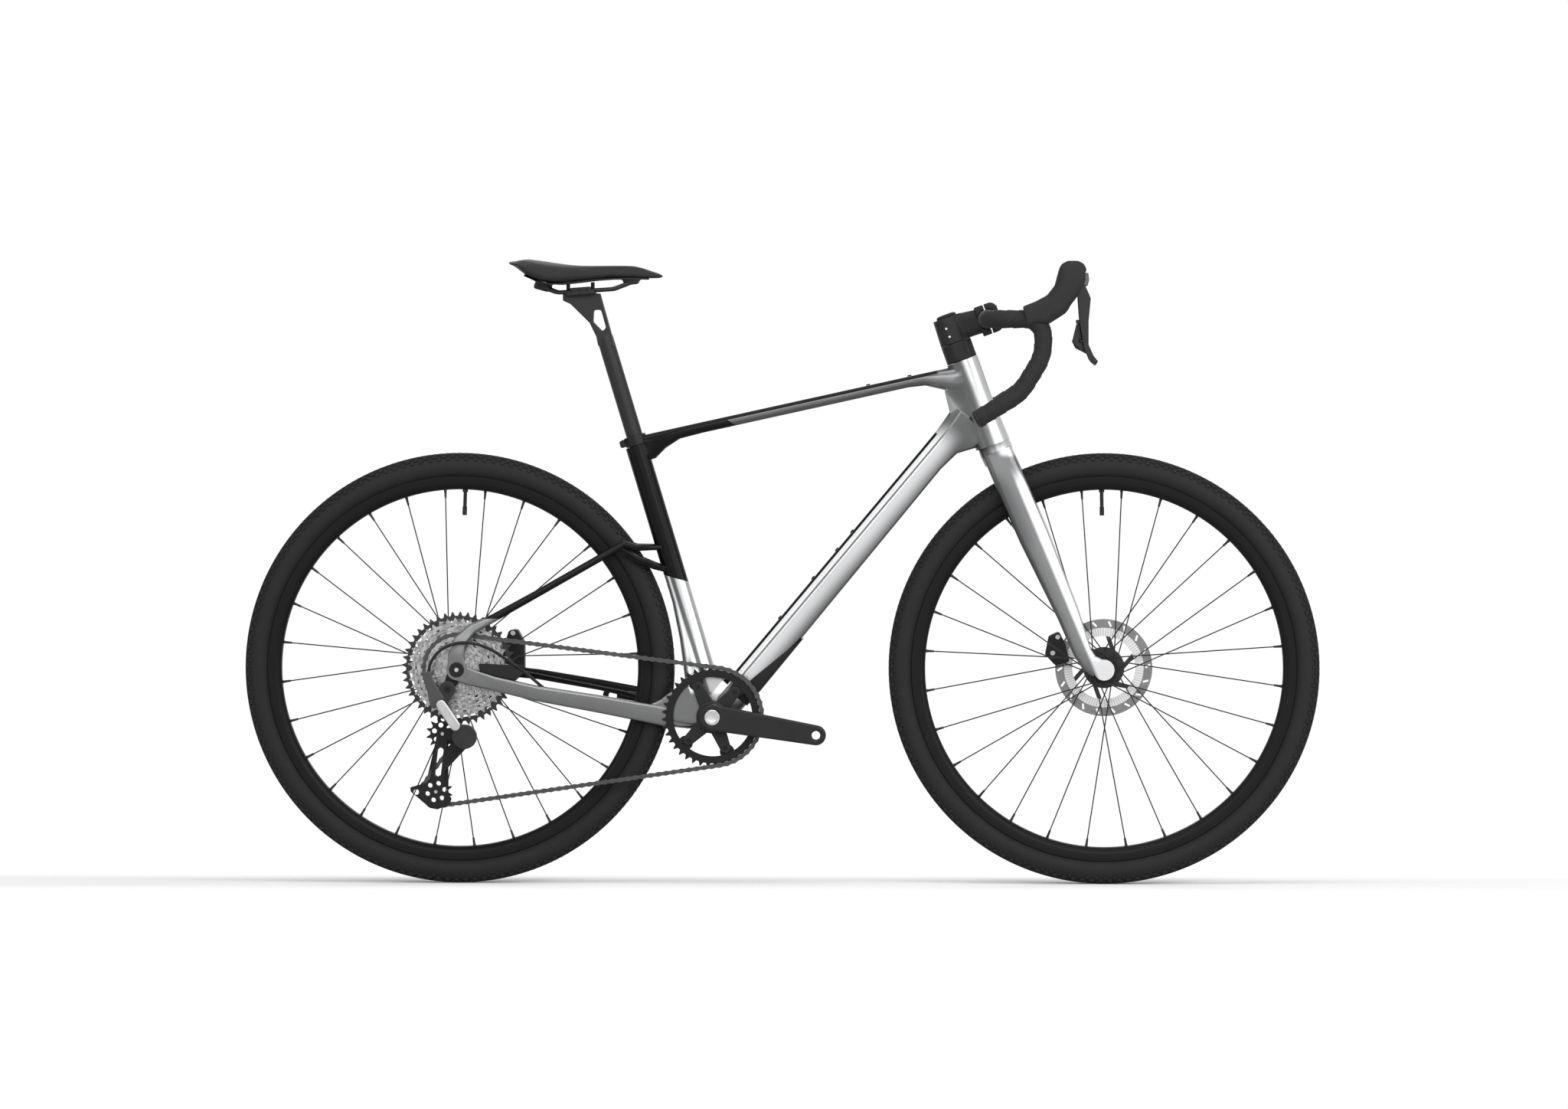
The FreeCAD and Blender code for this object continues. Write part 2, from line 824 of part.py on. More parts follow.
def rotor(axle, place):
    """Slotted braking band on six slanted arms, round a splined carrier."""
    near = place - rotor_thickness / 2
    far = place + rotor_thickness / 2
    outer = rotor_diameter / 2
    inner = outer - rotor_band
    carrier = 2 * rotor_spline_radius
    first = axle + ALONG * near
    last = axle + ALONG * far
    whole = [ring(first, last, outer, inner), ring(first, last, carrier, rotor_spline_radius + running_gap)]
    slots = []
    for i in range(6):
        start = axle + turn(60 * i) * (carrier - 3) + ALONG * place
        end = axle + turn(60 * i + 24) * (inner + 3) + ALONG * place
        whole.append(bar_between(start, end, 3.5, rotor_thickness / 2))
    for i in range(18):
        start = axle + turn(20 * i) * (outer - rotor_slot_band + 3.5) + ALONG * place
        end = axle + turn(20 * i + 4) * (outer - 3.5) + ALONG * place
        slots.append(bar_between(start, end, 1.6, rotor_thickness))
    return joined(whole).cut(slots)


def lockring(axle, place):
    near = axle + ALONG * (place + rotor_thickness / 2 + seat_gap)
    return ring(near, near + ALONG * lockring_thickness, lockring_radius, rotor_spline_radius + running_gap)


def valve(axle, wheel_turn):
    inward = turn(90 + wheel_turn) * -1
    base = axle - inward * (rim_inner - seat_gap)
    nut = rod(base, base + inward * 4, valve_diameter * 0.75)
    stem_part = rod(base, base + inward * (valve_length - 14), valve_diameter / 2)
    cap = rod(base + inward * (valve_length - 14), base + inward * valve_length, valve_diameter * 0.62)
    return joined([nut, stem_part, cap])


hub_bore_radius = 12.0
hub_spline_radius = rotor_spline_radius
end_cap_radius = 9.5
hub_bearing_width = 7.0
axle_bore_radius = axle_radius + running_gap


def hub_shell(axle, right_end, right_flange, left_flange, left_end):
    """Hollow shell with two flanges, and the rotor's splined boss on the left."""
    half = flange_thickness / 2
    flange_root = flange_radius - 6
    profile = [
        (right_end, hub_bore_radius),
        (right_end, hub_bore_radius + 3),
        (right_flange - half, hub_bore_radius + 3),
        (right_flange - half, flange_radius),
        (right_flange + half, flange_radius),
        (right_flange + half, flange_root),
        (right_flange + half + 6, hub_barrel_radius + 1),
        (left_flange - half - 6, hub_barrel_radius + 1),
        (left_flange - half, flange_root),
        (left_flange - half, flange_radius),
        (left_flange + half, flange_radius),
        (left_flange + half, hub_spline_radius),
        (left_end, hub_spline_radius),
        (left_end, hub_bore_radius),
    ]
    return turned(axle, profile)


def hub_bearing(axle, middle):
    half = ALONG * (hub_bearing_width / 2)
    place = axle + ALONG * middle
    return ring(place - half, place + half, hub_bore_radius - running_gap, axle_bore_radius)


def end_cap(axle, first, last):
    return ring(axle + ALONG * first, axle + ALONG * last, end_cap_radius, axle_bore_radius)


front_rotor_place = front_spacing / 2 - front_rotor_inset
rear_rotor_place = rear_spacing / 2 - rear_rotor_inset
front_wheel_turn = 0.8
rear_wheel_turn = -1.8
hub_end = front_spacing / 2 - 6
front_face = front_spacing / 2 - rest_gap
rear_face = rear_spacing / 2 - rest_gap
freehub_inner = rear_flange_right + 7.0
rear_left_end = rear_rotor_place + 6.5
bearing_step = hub_bearing_width / 2 + rest_gap

save("front_tyre", tyre(front_axle))
save("rear_tyre", tyre(rear_axle))
save("front_rim", rim(front_axle))
save("rear_rim", rim(rear_axle))
save("front_spokes", *spokes(front_axle, front_flange_right, front_flange_left, front_wheel_turn))
save("rear_spokes", *spokes(rear_axle, rear_flange_right, rear_flange_left, rear_wheel_turn))
save("front_rotor", rotor(front_axle, front_rotor_place), lockring(front_axle, front_rotor_place))
save("rear_rotor", rotor(rear_axle, rear_rotor_place), lockring(rear_axle, rear_rotor_place))
save("front_valve", valve(front_axle, front_wheel_turn))
save("rear_valve", valve(rear_axle, rear_wheel_turn))
save(
    "front_hub",
    hub_shell(front_axle, -hub_end, -front_flange_right, front_flange_left, hub_end),
    hub_bearing(front_axle, bearing_step - hub_end),
    hub_bearing(front_axle, hub_end - bearing_step),
    end_cap(front_axle, -front_face, -hub_end - seat_gap),
    end_cap(front_axle, hub_end + seat_gap, front_face),
)
save(
    "rear_hub",
    hub_shell(rear_axle, -freehub_inner, -rear_flange_right, rear_flange_left, rear_left_end),
    hub_bearing(rear_axle, bearing_step - freehub_inner),
    hub_bearing(rear_axle, rear_left_end - bearing_step),
    end_cap(rear_axle, rear_left_end + seat_gap, rear_face),
)

# Fork: tapered steerer, crown and two blades, in one moulded piece


def fork_leg(side):
    stations = (
        (-14.0, 3.0, 39.5, 24.0, 49.0),
        (-82.0, 7.5, 41.5, 22.0, 51.0),
        (-164.0, 12.6, 44.0, 19.0, 50.0),
        (-302.0, 21.5, 52.0, 15.0, 37.0),
        (-369.0, 22.5, 56.0, 13.0, 30.0),
        (-388.0, 27.0, 56.5, 13.0, 30.0),
        (-402.0, 38.0, 56.5, 13.0, 32.0),
    )
    reach = axle_to_crown / 408.0
    bow = fork_offset / 46.0
    outward = (front_spacing / 2 + fork_dropout_thickness / 2) / 56.5
    placed = []
    for rise, ahead, place, width, depth in stations:
        placed.append((steer(rise * reach, ahead * bow, side * place * outward), width, depth))
    return stay(placed, 0.85)


def crown_section(rise, half_width, half_depth):
    return section(steer(rise, 2.0, 0), ALONG, steer_ahead, half_width, half_depth, 0.9)


stem_base = head_tube_length + rest_gap + spacer_stack
stem_top = stem_base + stem_height
steerer_top = stem_top - 3.0
fork_crown = loft(
    [
        crown_section(-rest_gap, head_tube_bottom_radius, head_tube_bottom_radius - 2.0),
        crown_section(-12.0, 43.0, 27.0),
        crown_section(-30.0, 51.0, 25.0),
    ]
)
fork_pieces = [
    fork_crown,
    rod(steer(-10, 0, 0), steer(40, 0, 0), steerer_base_radius),
    cone(steer(40, 0, 0), steer(95, 0, 0), steerer_base_radius, steerer_radius),
    rod(steer(95, 0, 0), steer(steerer_top, 0, 0), steerer_radius),
]
for side in (-1, 1):
    inner = front_axle + ALONG * (side * front_spacing / 2)
    outer = inner + ALONG * (side * fork_dropout_thickness)
    fork_pieces += [fork_leg(side), rod(inner, outer, dropout_radius)]
fork_reach = front_spacing / 2 + fork_dropout_thickness
front_axle_hole = rod(front_axle - ALONG * 90, front_axle + ALONG * 90, axle_bore_radius)
fork_solid = joined(fork_pieces).cut(front_axle_hole)
save("fork", fork_solid)

front_axle_bar = rod(front_axle - ALONG * fork_reach, front_axle + ALONG * fork_reach, axle_radius)
front_axle_head = rod(
    front_axle + ALONG * fork_reach, front_axle + ALONG * (fork_reach + axle_head_height), axle_head_radius
)
save("front_axle", front_axle_bar.fuse(front_axle_head))

# Brakes: each caliper straddles its rotor, with a pad on either side


def caliper(axle, place, corners, taken):
    """Block with a slot for the rotor, cut clear of the piece that carries it."""
    near = place - caliper_width / 2
    slot_half_width = rotor_thickness / 2 + pad_gap + pad_thickness + seat_gap
    block = prism([axle + vec(x, near, z) for x, z in corners], 5.0, caliper_width)
    slot = rod(
        axle + ALONG * (place - slot_half_width),
        axle + ALONG * (place + slot_half_width),
        rotor_diameter / 2 + 1.5,
    )
    return block.cut([slot, taken])


def brake_pads(axle, place, corners):
    inner = rotor_thickness / 2 + pad_gap
    pads = []
    for near in (place + inner, place - inner - pad_thickness):
        pads.append(prism([axle + vec(x, near, z) for x, z in corners], 2.0, pad_thickness))
    return pads


rear_caliper_corners = ((70, -4), (68, 30), (78, 60), (92, 62), (104, 40), (104, -8))
front_caliper_corners = ((-97, 22), (-91, 52), (-74, 60), (-63, 38), (-56, 10), (-80, 4))
rear_pad_corners = ((60, 16), (56, 40), (66, 42), (76, 20))
front_pad_corners = ((-76, 18), (-64, 42), (-58, 38), (-62, 14))
save("rear_caliper", caliper(rear_axle, rear_rotor_place, rear_caliper_corners, frame_solid))
save("front_caliper", caliper(front_axle, front_rotor_place, front_caliper_corners, fork_solid))
save("rear_brake_pads", *brake_pads(rear_axle, rear_rotor_place, rear_pad_corners))
save("front_brake_pads", *brake_pads(front_axle, front_rotor_place, front_pad_corners))

# Cockpit: spacers, stem and top cap on the steerer

spacer_count = 3
bar_rise = stem_top - bar_drop_from_top
bar_centre = steer(bar_rise, stem_length, 0)
clamp_half_height = bar_drop_from_top - 0.5
clamp_front = bar_clamp_diameter / 2 + 4.6
bar_half_gap = faceplate_gap / 2


def spacer(bottom, top):
    wide = spacer_half_width
    deep = spacer_half_depth
    body = loft([section(steer(rise, 0, 0), ALONG, steer_ahead, wide, deep, 0.9) for rise in (bottom, top)])
    return body.cut(rod(steer(bottom - 1, 0, 0), steer(top + 1, 0, 0), steerer_radius + running_gap))


def stem_block(first, last, low, high, half_width, radius):
    """Rounded block between two distances ahead of the steering axis."""
    corners = [
        steer(low, first, -half_width),
        steer(high, first, -half_width),
        steer(high, last, -half_width),
        steer(low, last, -half_width),
    ]
    return prism(corners, radius, 2 * half_width)


spacer_base = head_tube_length + rest_gap
spacer_height = spacer_stack / spacer_count
spacers = []
for i in range(spacer_count):
    bottom = spacer_base + i * spacer_height
    spacers.append(spacer(bottom, bottom + spacer_height - running_gap))
save("headset_spacers", *spacers)

bar_hole = rod(
    bar_centre - ALONG * 60, bar_centre + ALONG * 60, bar_clamp_diameter / 2 + running_gap
)
steerer_hole = rod(steer(stem_base - 1, 0, 0), steer(stem_top + 1, 0, 0), steerer_radius + running_gap)
low_clamp = bar_rise - clamp_half_height
high_clamp = bar_rise + clamp_half_height
stem_arm = loft(
    [
        section(steer(bar_rise + 5.0, 4, 0), ALONG, steer_up, 17.0, 22.5, 0.7),
        section(steer(bar_rise + 1.0, stem_length - 10, 0), ALONG, steer_up, bar_clamp_half - 3, 20.0, 0.6),
    ]
)
stem_half_width = spacer_half_width - 2
stem_half_depth = spacer_half_depth - 2
stem_hub = loft(
    [
        section(steer(stem_base, 0, 0), ALONG, steer_ahead, spacer_half_width, spacer_half_depth, 0.9),
        section(steer(stem_top, 0, 0), ALONG, steer_ahead, stem_half_width, stem_half_depth, 0.9),
    ]
)
jaw_front = stem_length - bar_half_gap
stem_jaw = stem_block(stem_length - 16, jaw_front, low_clamp, high_clamp, bar_clamp_half, 0.8)
cap_radius = 17.0
cap_foot = steer(stem_top, 0, 0)
cap_room = rod(cap_foot, cap_foot + steer_up * 20, cap_radius + rest_gap)
stem_cuts = [bar_hole, steerer_hole, cap_room]
save("stem", joined([stem_hub, stem_arm, stem_jaw]).cut(stem_cuts))

face_block = stem_block(
    stem_length - 30, stem_length + clamp_front, low_clamp, high_clamp, bar_clamp_half - 1, 12.0
)
face_side = stem_block(
    stem_length + bar_half_gap, stem_length + 60, low_clamp - 20, high_clamp + 20, 60.0, 1.0
)
save("stem_faceplate", face_block.common(face_side).cut(bar_hole))

top_cap = rod(cap_foot, cap_foot + steer_up * 3, cap_radius)
top_cap = top_cap.fuse(cone(cap_foot + steer_up * 3, cap_foot + steer_up * 5.5, cap_radius, 13.0))
top_cap = top_cap.fuse(rod(cap_foot - steer_up * 2.9, cap_foot, steerer_radius - 1))
save("top_cap", top_cap)

# Handlebar: flared drop bar, with tape on each side and a plug in each end

bar_radius = bar_diameter / 2
tape_radius = bar_radius + tape_thickness


def bar_point(ahead, side, rise):
    return bar_centre + vec(ahead, side, rise)


def bar_path(side, start):
    points = [
        bar_point(0, side * start, 0),
        bar_point(0, side * (bar_half_width - 8), 0),
        bar_point(bar_reach, side * bar_half_width, 0),
        bar_point(bar_reach, side * (bar_half_width + 0.3 * bar_flare), -0.37 * bar_drop),
        bar_point(0.6 * bar_reach, side * (bar_half_width + 0.7 * bar_flare), -0.74 * bar_drop),
        bar_point(-0.15 * bar_reach, side * (bar_half_width + bar_flare), -bar_drop),
    ]
    return bent_path(points, (42.0, 30.0, 75.0, 75.0))


clamp_zone = bar_clamp_half + 6
bar_pieces = [rod(bar_point(0, -clamp_zone, 0), bar_point(0, clamp_zone, 0), bar_clamp_diameter / 2)]
tapes = []
tape_skins = {}
plugs = []
for side in (-1, 1):
    bulge_end = bar_point(0, side * (tape_start - seat_gap), 0)
    bar_pieces.append(
        cone(bar_point(0, side * clamp_zone, 0), bulge_end, bar_clamp_diameter / 2, bar_radius)
    )
    bar_pieces.append(swept(bar_path(side, 1.0), bar_radius))
    path = bar_path(side, tape_start)
    tape_skins[side] = swept(path, tape_radius + seat_gap)
    tapes.append(swept(path, tape_radius).cut(swept(path, bar_radius + running_gap)))
    last = path.Edges[-1]
    tip = last.valueAt(last.LastParameter)
    outward = last.tangentAt(last.LastParameter)
    plug = rod(tip, tip + outward * 3, tape_radius)
    plugs.append(plug.fuse(cone(tip + outward * 3, tip + outward * 6, tape_radius, tape_radius - 4)))
save("handlebar", joined(bar_pieces))
save("bar_tape", *tapes)
save("bar_end_plugs", *plugs)

# Brake levers: bracket, rubber hood, blade on a pin, and the shift paddle behind the right blade

hood_stations = (
    (62.0, 3.0, 14.0, 36.0, 36.0),
    (88.0, 9.5, 24.0, 38.0, 43.0),
    (112.0, 24.0, 45.0, 37.0, 42.0),
    (128.0, 45.0, 62.0, 35.0, 42.0),
    (137.0, 66.0, 80.0, 33.0, 48.0),
    (139.0, 82.0, 88.0, 29.5, 44.0),
    (139.0, 89.5, 90.0, 25.0, 36.0),
    (139.0, 94.5, 90.0, 14.0, 18.0),
)
hood_skin = 2.6
lever_width = 13.0
lever_gap = 0.5
lever_pivot = (147.5, 60.0)
lever_pin_radius = 2.5
blade_corners = (
    (141, 68),
    (153, 68),
    (161, 50),
    (168, 34),
    (164.5, -3),
    (164.5, -41),
    (173, -60),
    (180, -68),
    (175, -76),
    (166, -68),
    (156.5, -45),
    (150, -5),
    (147, 36),
    (141, 52),
)
slot_corner_places = ((134, 76), (180, 76), (180, -10), (134, -10))
paddle_corners = (
    (144.5, -8),
    (139, -30),
    (141, -40),
    (150, -50),
    (157, -53),
    (154, -38),
    (148.8, -8),
)
ear_width = 5.0
ear_corners = (
    ((143.5, -1), (152, -1), (152, -7.5), (144, -7.5)),
    ((150, -33.5), (156, -33.5), (157, -38), (150, -38)),
)
ear_room_corners = (
    ((142, 0), (153, 0), (153, -8.1), (142, -8.1)),
    ((149.2, -32.8), (158, -32.8), (158, -38.8), (149.2, -38.8)),
)
paddle_axis_top = (147.2, -8.0)
paddle_axis_bottom = (151.7, -33.0)


def hood_body(middle, stations, thinner):
    sections = []
    for ahead, rise, angle, width, depth in stations:
        centre = middle + vec(ahead, 0, rise)
        sections.append(
            section(centre, ALONG, turn(angle + 90), width / 2 - thinner, depth / 2 - thinner, 0.8)
        )
    return loft(sections)


def lever_prism(middle, corners, radius, width):
    return prism([middle + vec(x, -width / 2, z) for x, z in corners], radius, width)


paddle_run = vec(
    paddle_axis_bottom[0] - paddle_axis_top[0], 0, paddle_axis_bottom[1] - paddle_axis_top[1]
)
paddle_run.normalize()
paddle_pin_radius = 1.2
paddle_knuckle_radius = 2.4
hoods = []
brackets = []
for side, name in ((-1, "right"), (1, "left")):
    middle = bar_point(0, side * bar_half_width, 0)
    pivot = middle + vec(lever_pivot[0], 0, lever_pivot[1])
    inner = hood_body(middle, hood_stations[1:6], hood_skin)
    slot = lever_prism(middle, slot_corner_places, 2.0, lever_width + 2 * lever_gap)
    pin = rod(pivot - ALONG * 12, pivot + ALONG * 12, lever_pin_radius)
    bracket_block = inner.cut([slot, tape_skins[side]]).fuse(pin)
    brackets.append(bracket_block)
    hoods.append(hood_body(middle, hood_stations, 0.0).cut([inner, slot, tape_skins[side]]))
    blade = lever_prism(middle, blade_corners, 2.2, lever_width)
    blade = blade.cut(rod(pivot - ALONG * 20, pivot + ALONG * 20, lever_pin_radius + running_gap))
    if side < 0:
        top = middle + vec(paddle_axis_top[0], 0, paddle_axis_top[1])
        bottom = middle + vec(paddle_axis_bottom[0], 0, paddle_axis_bottom[1])
        knuckle_room = rod(top - paddle_run * 0.3, bottom + paddle_run * 0.3, paddle_knuckle_radius + 1.5)
        ears = [lever_prism(middle, corners, 1.0, ear_width) for corners in ear_corners]
        ear_rooms = [lever_prism(middle, corners, 0.4, ear_width) for corners in ear_room_corners]
        blade = joined([blade.cut(knuckle_room)] + ears)
        blade = blade.fuse(rod(top - paddle_run * 3, bottom + paddle_run * 3, paddle_pin_radius))
        plate = lever_prism(middle, paddle_corners, 1.0, 3.0)
        knuckle = rod(top, bottom, paddle_knuckle_radius)
        pin_hole = rod(top - paddle_run * 9, bottom + paddle_run * 9, paddle_pin_radius + running_gap)
        save("shift_paddle", plate.fuse(knuckle).cut([pin_hole] + ear_rooms))
    save("brake_lever_" + name, blade)
save("lever_brackets", *brackets)
save("lever_hoods", *hoods)

# Seatpost with its one-piece head, and the clamp on the saddle's rails

clamp = seat(seat_tube_length + post_exposed + clamp_height, -clamp_setback, 0)


def clamp_point(ahead, side, rise):
    """Point measured from the middle of the saddle clamp."""
    return clamp + vec(ahead, side, rise)


head_half_width = post_radius - 1.6
head_corners = (
    (-29.5, -3.6),
    (32, -3.6),
    (36, -18),
    (52, -75),
    (55, -90),
    (28.5, -90),
    (25.7, -75),
    (14.4, -52),
    (-17, -21),
    (-29.5, -15.6),
)
window_corners = ((21.5, -31), (33.5, -31), (41.5, -60), (36, -66), (20.5, -50))
post_head = prism([clamp_point(x, -head_half_width, z) for x, z in head_corners], 2.0, 2 * head_half_width)
post_window = prism([clamp_point(x, -30, z) for x, z in window_corners], 2.5, 60.0)
post_bar = rod(
    seat(seat_tube_length - post_insert, 0, 0), seat(seat_tube_length + post_exposed + 8, 0, 0), post_radius
)
save("seatpost", post_bar.fuse(post_head).cut(post_window))

rail_radius = rail_diameter / 2
rail_rise = math.tan(math.radians(rail_tilt))
rail_half = rail_spacing / 2


def rail_path(side):
    points = [
        clamp_point(-68, side * (rail_half + 17), 9),
        clamp_point(-38, side * rail_half, -38 * rail_rise),
        clamp_point(54, side * rail_half, 54 * rail_rise),
        clamp_point(88, side * (rail_half - 12), 16.5),
    ]
    return bent_path(points, (18.0, 22.0))


rails = []
rail_holes = []
for side in (-1, 1):
    path = rail_path(side)
    rails.append(swept(path, rail_radius))
    rail_holes.append(swept(path, rail_radius + running_gap))
save("saddle_rails", *rails)

cradle_half = 25.0
cap_half = 18.0
clamp_half_width = rail_half + 5.5
jaw_gap = 0.6


def jaw(half_length, bottom, top):
    corners = [
        clamp_point(-half_length, -clamp_half_width, bottom - half_length * rail_rise),
        clamp_point(-half_length + 2, -clamp_half_width, top - half_length * rail_rise),
        clamp_point(half_length - 2, -clamp_half_width, top + half_length * rail_rise),
        clamp_point(half_length, -clamp_half_width, bottom + half_length * rail_rise),
    ]
    return prism(corners, 1.5, 2 * clamp_half_width)


head_room = prism(
    [clamp_point(x, -head_half_width - seat_gap, z + seat_gap) for x, z in head_corners],
    2.0,
    2 * (head_half_width + seat_gap),
)
lower_jaw = jaw(cradle_half, -6.5, -jaw_gap).cut([head_room] + rail_holes)
upper_jaw = jaw(cap_half, jaw_gap, 6.5).cut(rail_holes)
save("saddle_clamp", lower_jaw, upper_jaw)

# Saddle: a padded cover with a crown and drawn-in sides, on a moulded shell

saddle_stations = (
    (-120, 52.0, 54.0, 44.0),
    (-91, 69.5, 52.0, 28.0),
    (-62, 72.0, 48.3, 15.0),
    (-33, 64.0, 44.0, 13.5),
    (-4, 49.5, 41.0, 16.5),
    (25, 35.0, 40.5, 20.0),
    (54, 27.5, 40.8, 22.0),
    (83, 23.8, 40.5, 22.5),
    (112, 21.0, 38.0, 22.0),
    (139, 11.0, 29.5, 23.0),
)


def cover_section(ahead, half_width, top, edge):
    """Crown arc, a bulging arc down each side that draws in below, and a flat base."""
    height = top - edge
    base = half_width - 0.18 * height
    shoulder = half_width * 0.9
    shoulder_rise = edge + 0.72 * height
    right_base = clamp_point(ahead, -base, edge)
    left_base = clamp_point(ahead, base, edge)
    right = clamp_point(ahead, -shoulder, shoulder_rise)
    left = clamp_point(ahead, shoulder, shoulder_rise)
    edges = [
        Part.LineSegment(right_base, left_base).toShape(),
        Part.Arc(left_base, clamp_point(ahead, half_width, edge + 0.36 * height), left).toShape(),
        Part.Arc(left, clamp_point(ahead, 0, top), right).toShape(),
        Part.Arc(right, clamp_point(ahead, -half_width, edge + 0.36 * height), right_base).toShape(),
    ]
    return Part.Wire(edges)


cover = Part.makeLoft([cover_section(*station) for station in saddle_stations], True, False)
shell_sections = []
for ahead, half_width, top, edge in saddle_stations[1:-1]:
    centre = clamp_point(ahead, 0, edge - shell_board / 2 - rest_gap)
    half = half_width - 0.18 * (top - edge) - 2.0
    shell_sections.append(section(centre, ALONG, vec(0, 0, 1), half, shell_board / 2, 0.9))
rear_boss_half = 6.0
shell_pieces = [loft(shell_sections)]
for side in (-1, 1):
    shell_pieces.append(
        rod(
            clamp_point(-73, side * (rail_half + 20), 10.0),
            clamp_point(-52, side * (rail_half + 8), 4.0),
            rear_boss_half,
        )
    )
shell_pieces.append(
    prism(
        [clamp_point(x, -17, z) for x, z in ((68, 20.5), (98, 21.0), (94, 12.0), (72, 9.0))], 2.0, 34.0
    )
)
save("saddle_cover", cover)
shell_solid = joined(shell_pieces).cut([cover] + rail_holes)
save("saddle_shell", shell_solid)

# Drivetrain: the chain's loop round cog, chainring and the two pulleys

hanger_drop = vec(13.9, 0, -109.2)
guide_place = vec(-25.4, 0, -103.9)
tension_bearing = 259.9
cage_pivot = rear_axle + hanger_drop


def loop_radius(teeth):
    return teeth * chain_pitch / (2 * math.pi)


def cage_points(swing):
    """Guide and tension pulley when the cage has swung by some degrees about its pivot."""
    guide = rear_axle + guide_place
    tension = guide + turn(tension_bearing) * cage_length
    spin = FreeCAD.Rotation(ALONG, swing)
    return [cage_pivot + spin.multVec(point - cage_pivot) for point in (guide, tension)]


def chain_loop(swing):
    """Each wheel's centre, radius, sense, and the places where the chain meets and leaves it."""
    guide, tension = cage_points(swing)
    wheels = [
        (rear_axle, loop_radius(driven_cog), -1),
        (bracket, loop_radius(ring_teeth), -1),
        (tension, loop_radius(pulley_teeth), -1),
        (guide, loop_radius(pulley_teeth), 1),
    ]
    headings = []
    for i in range(4):
        centre, radius, sense = wheels[i]
        after, after_radius, after_sense = wheels[(i + 1) % 4]
        run = after - centre
        lean = math.asin((after_sense * after_radius - sense * radius) / run.Length)
        headings.append(math.atan2(run.z, run.x) - lean)
    return wheels, headings


def normal(heading):
    return vec(-math.sin(heading), 0, math.cos(heading))


def loop_runs(swing):
    """The loop as arcs and straights, each with its length and a rule for a point on it."""
    wheels, headings = chain_loop(swing)
    runs = []
    for i in range(4):
        centre, radius, sense = wheels[i]
        arrive = headings[i - 1]
        leave = headings[i]
        wrap = (sense * (leave - arrive)) % (2 * math.pi)
        runs.append(("arc", wrap * radius, centre, radius, sense, arrive))
        start = centre - normal(leave) * (sense * radius)
        after, after_radius, after_sense = wheels[(i + 1) % 4]
        end = after - normal(leave) * (after_sense * after_radius)
        runs.append(("straight", (end - start).Length, start, end))
    return runs


def loop_length(swing):
    return sum(run[1] for run in loop_runs(swing))


def loop_point(runs, distance):
    for run in runs:
        if distance <= run[1]:
            break
        distance -= run[1]
    if run[0] == "straight":
        return run[2] + (run[3] - run[2]) * (distance / run[1])
    length, centre, radius, sense, arrive = run[1:]
    return centre - normal(arrive + sense * distance / radius) * (sense * radius)


def settled_cage():
    """Swing of the cage at which the loop holds a whole, even number of links."""
    links = 2 * round(loop_length(0.0) / (2 * chain_pitch))
    low, high = -14.0, 14.0
    rising = loop_length(high) > loop_length(low)
    for step in range(60):
        middle = (low + high) / 2
        if (loop_length(middle) < links * chain_pitch) == rising:
            low = middle
        else:
            high = middle
    return links, (low + high) / 2


link_count, cage_swing = settled_cage()
chain_runs = loop_runs(cage_swing)
guide_centre, tension_centre = cage_points(cage_swing)
chain_side = ALONG * -chain_line
chain_pins = [loop_point(chain_runs, k * chain_pitch) + chain_side for k in range(link_count)]

# Chain: inner links with their rollers and outer links, laid by turns along the loop

roller_radius = roller_diameter / 2
plate_half = chain_plate_height / 2
inner_face = chain_inner_width / 2
outer_face = inner_face + chain_plate + running_gap


def link_plate(near):
    """Plate with tapered ends between two pins, at the origin."""
    tip = plate_half * 1.05
    neck = plate_half * 0.5
    corners = [
        vec(-tip, near, 0),
        vec(-neck, near, plate_half),
        vec(chain_pitch + neck, near, plate_half),
        vec(chain_pitch + tip, near, 0),
        vec(chain_pitch + neck, near, -plate_half),
        vec(-neck, near, -plate_half),
    ]
    return Part.Face(polygon(corners)).extrude(ALONG * chain_plate)


def roller(ahead):
    corners = [vec(ahead, -inner_face, 0) + turn(60 * i) * roller_radius for i in range(6)]
    return Part.Face(polygon(corners)).extrude(ALONG * chain_inner_width)


inner_plates = [link_plate(-inner_face - chain_plate), link_plate(inner_face)]
inner_link = joined(inner_plates + [roller(0), roller(chain_pitch)])
outer_link = Part.makeCompound([link_plate(-outer_face - chain_plate), link_plate(outer_face)])
links = []
for k in range(link_count):
    here = chain_pins[k]
    run = chain_pins[(k + 1) % link_count] - here
    link = (outer_link if k % 2 else inner_link).copy()
    link.rotate(vec(0, 0, 0), ALONG, -math.degrees(math.atan2(run.z, run.x)))
    link.translate(here)
    links.append(link)
save("chain", *[solid for link in links for solid in link.Solids])

# Sprockets: every tooth stands between two rollers of the chain

tooth_root = roller_radius + 0.35
tooth_tip = 2.7


def nearest_pin(centre, teeth):
    """Angle of the roller that sits deepest on this sprocket."""
    reach = loop_radius(teeth)
    best = min(chain_pins, key=lambda pin: abs((pin - centre - chain_side).Length - reach))
    arm = best - centre
    return math.degrees(math.atan2(arm.z, arm.x))


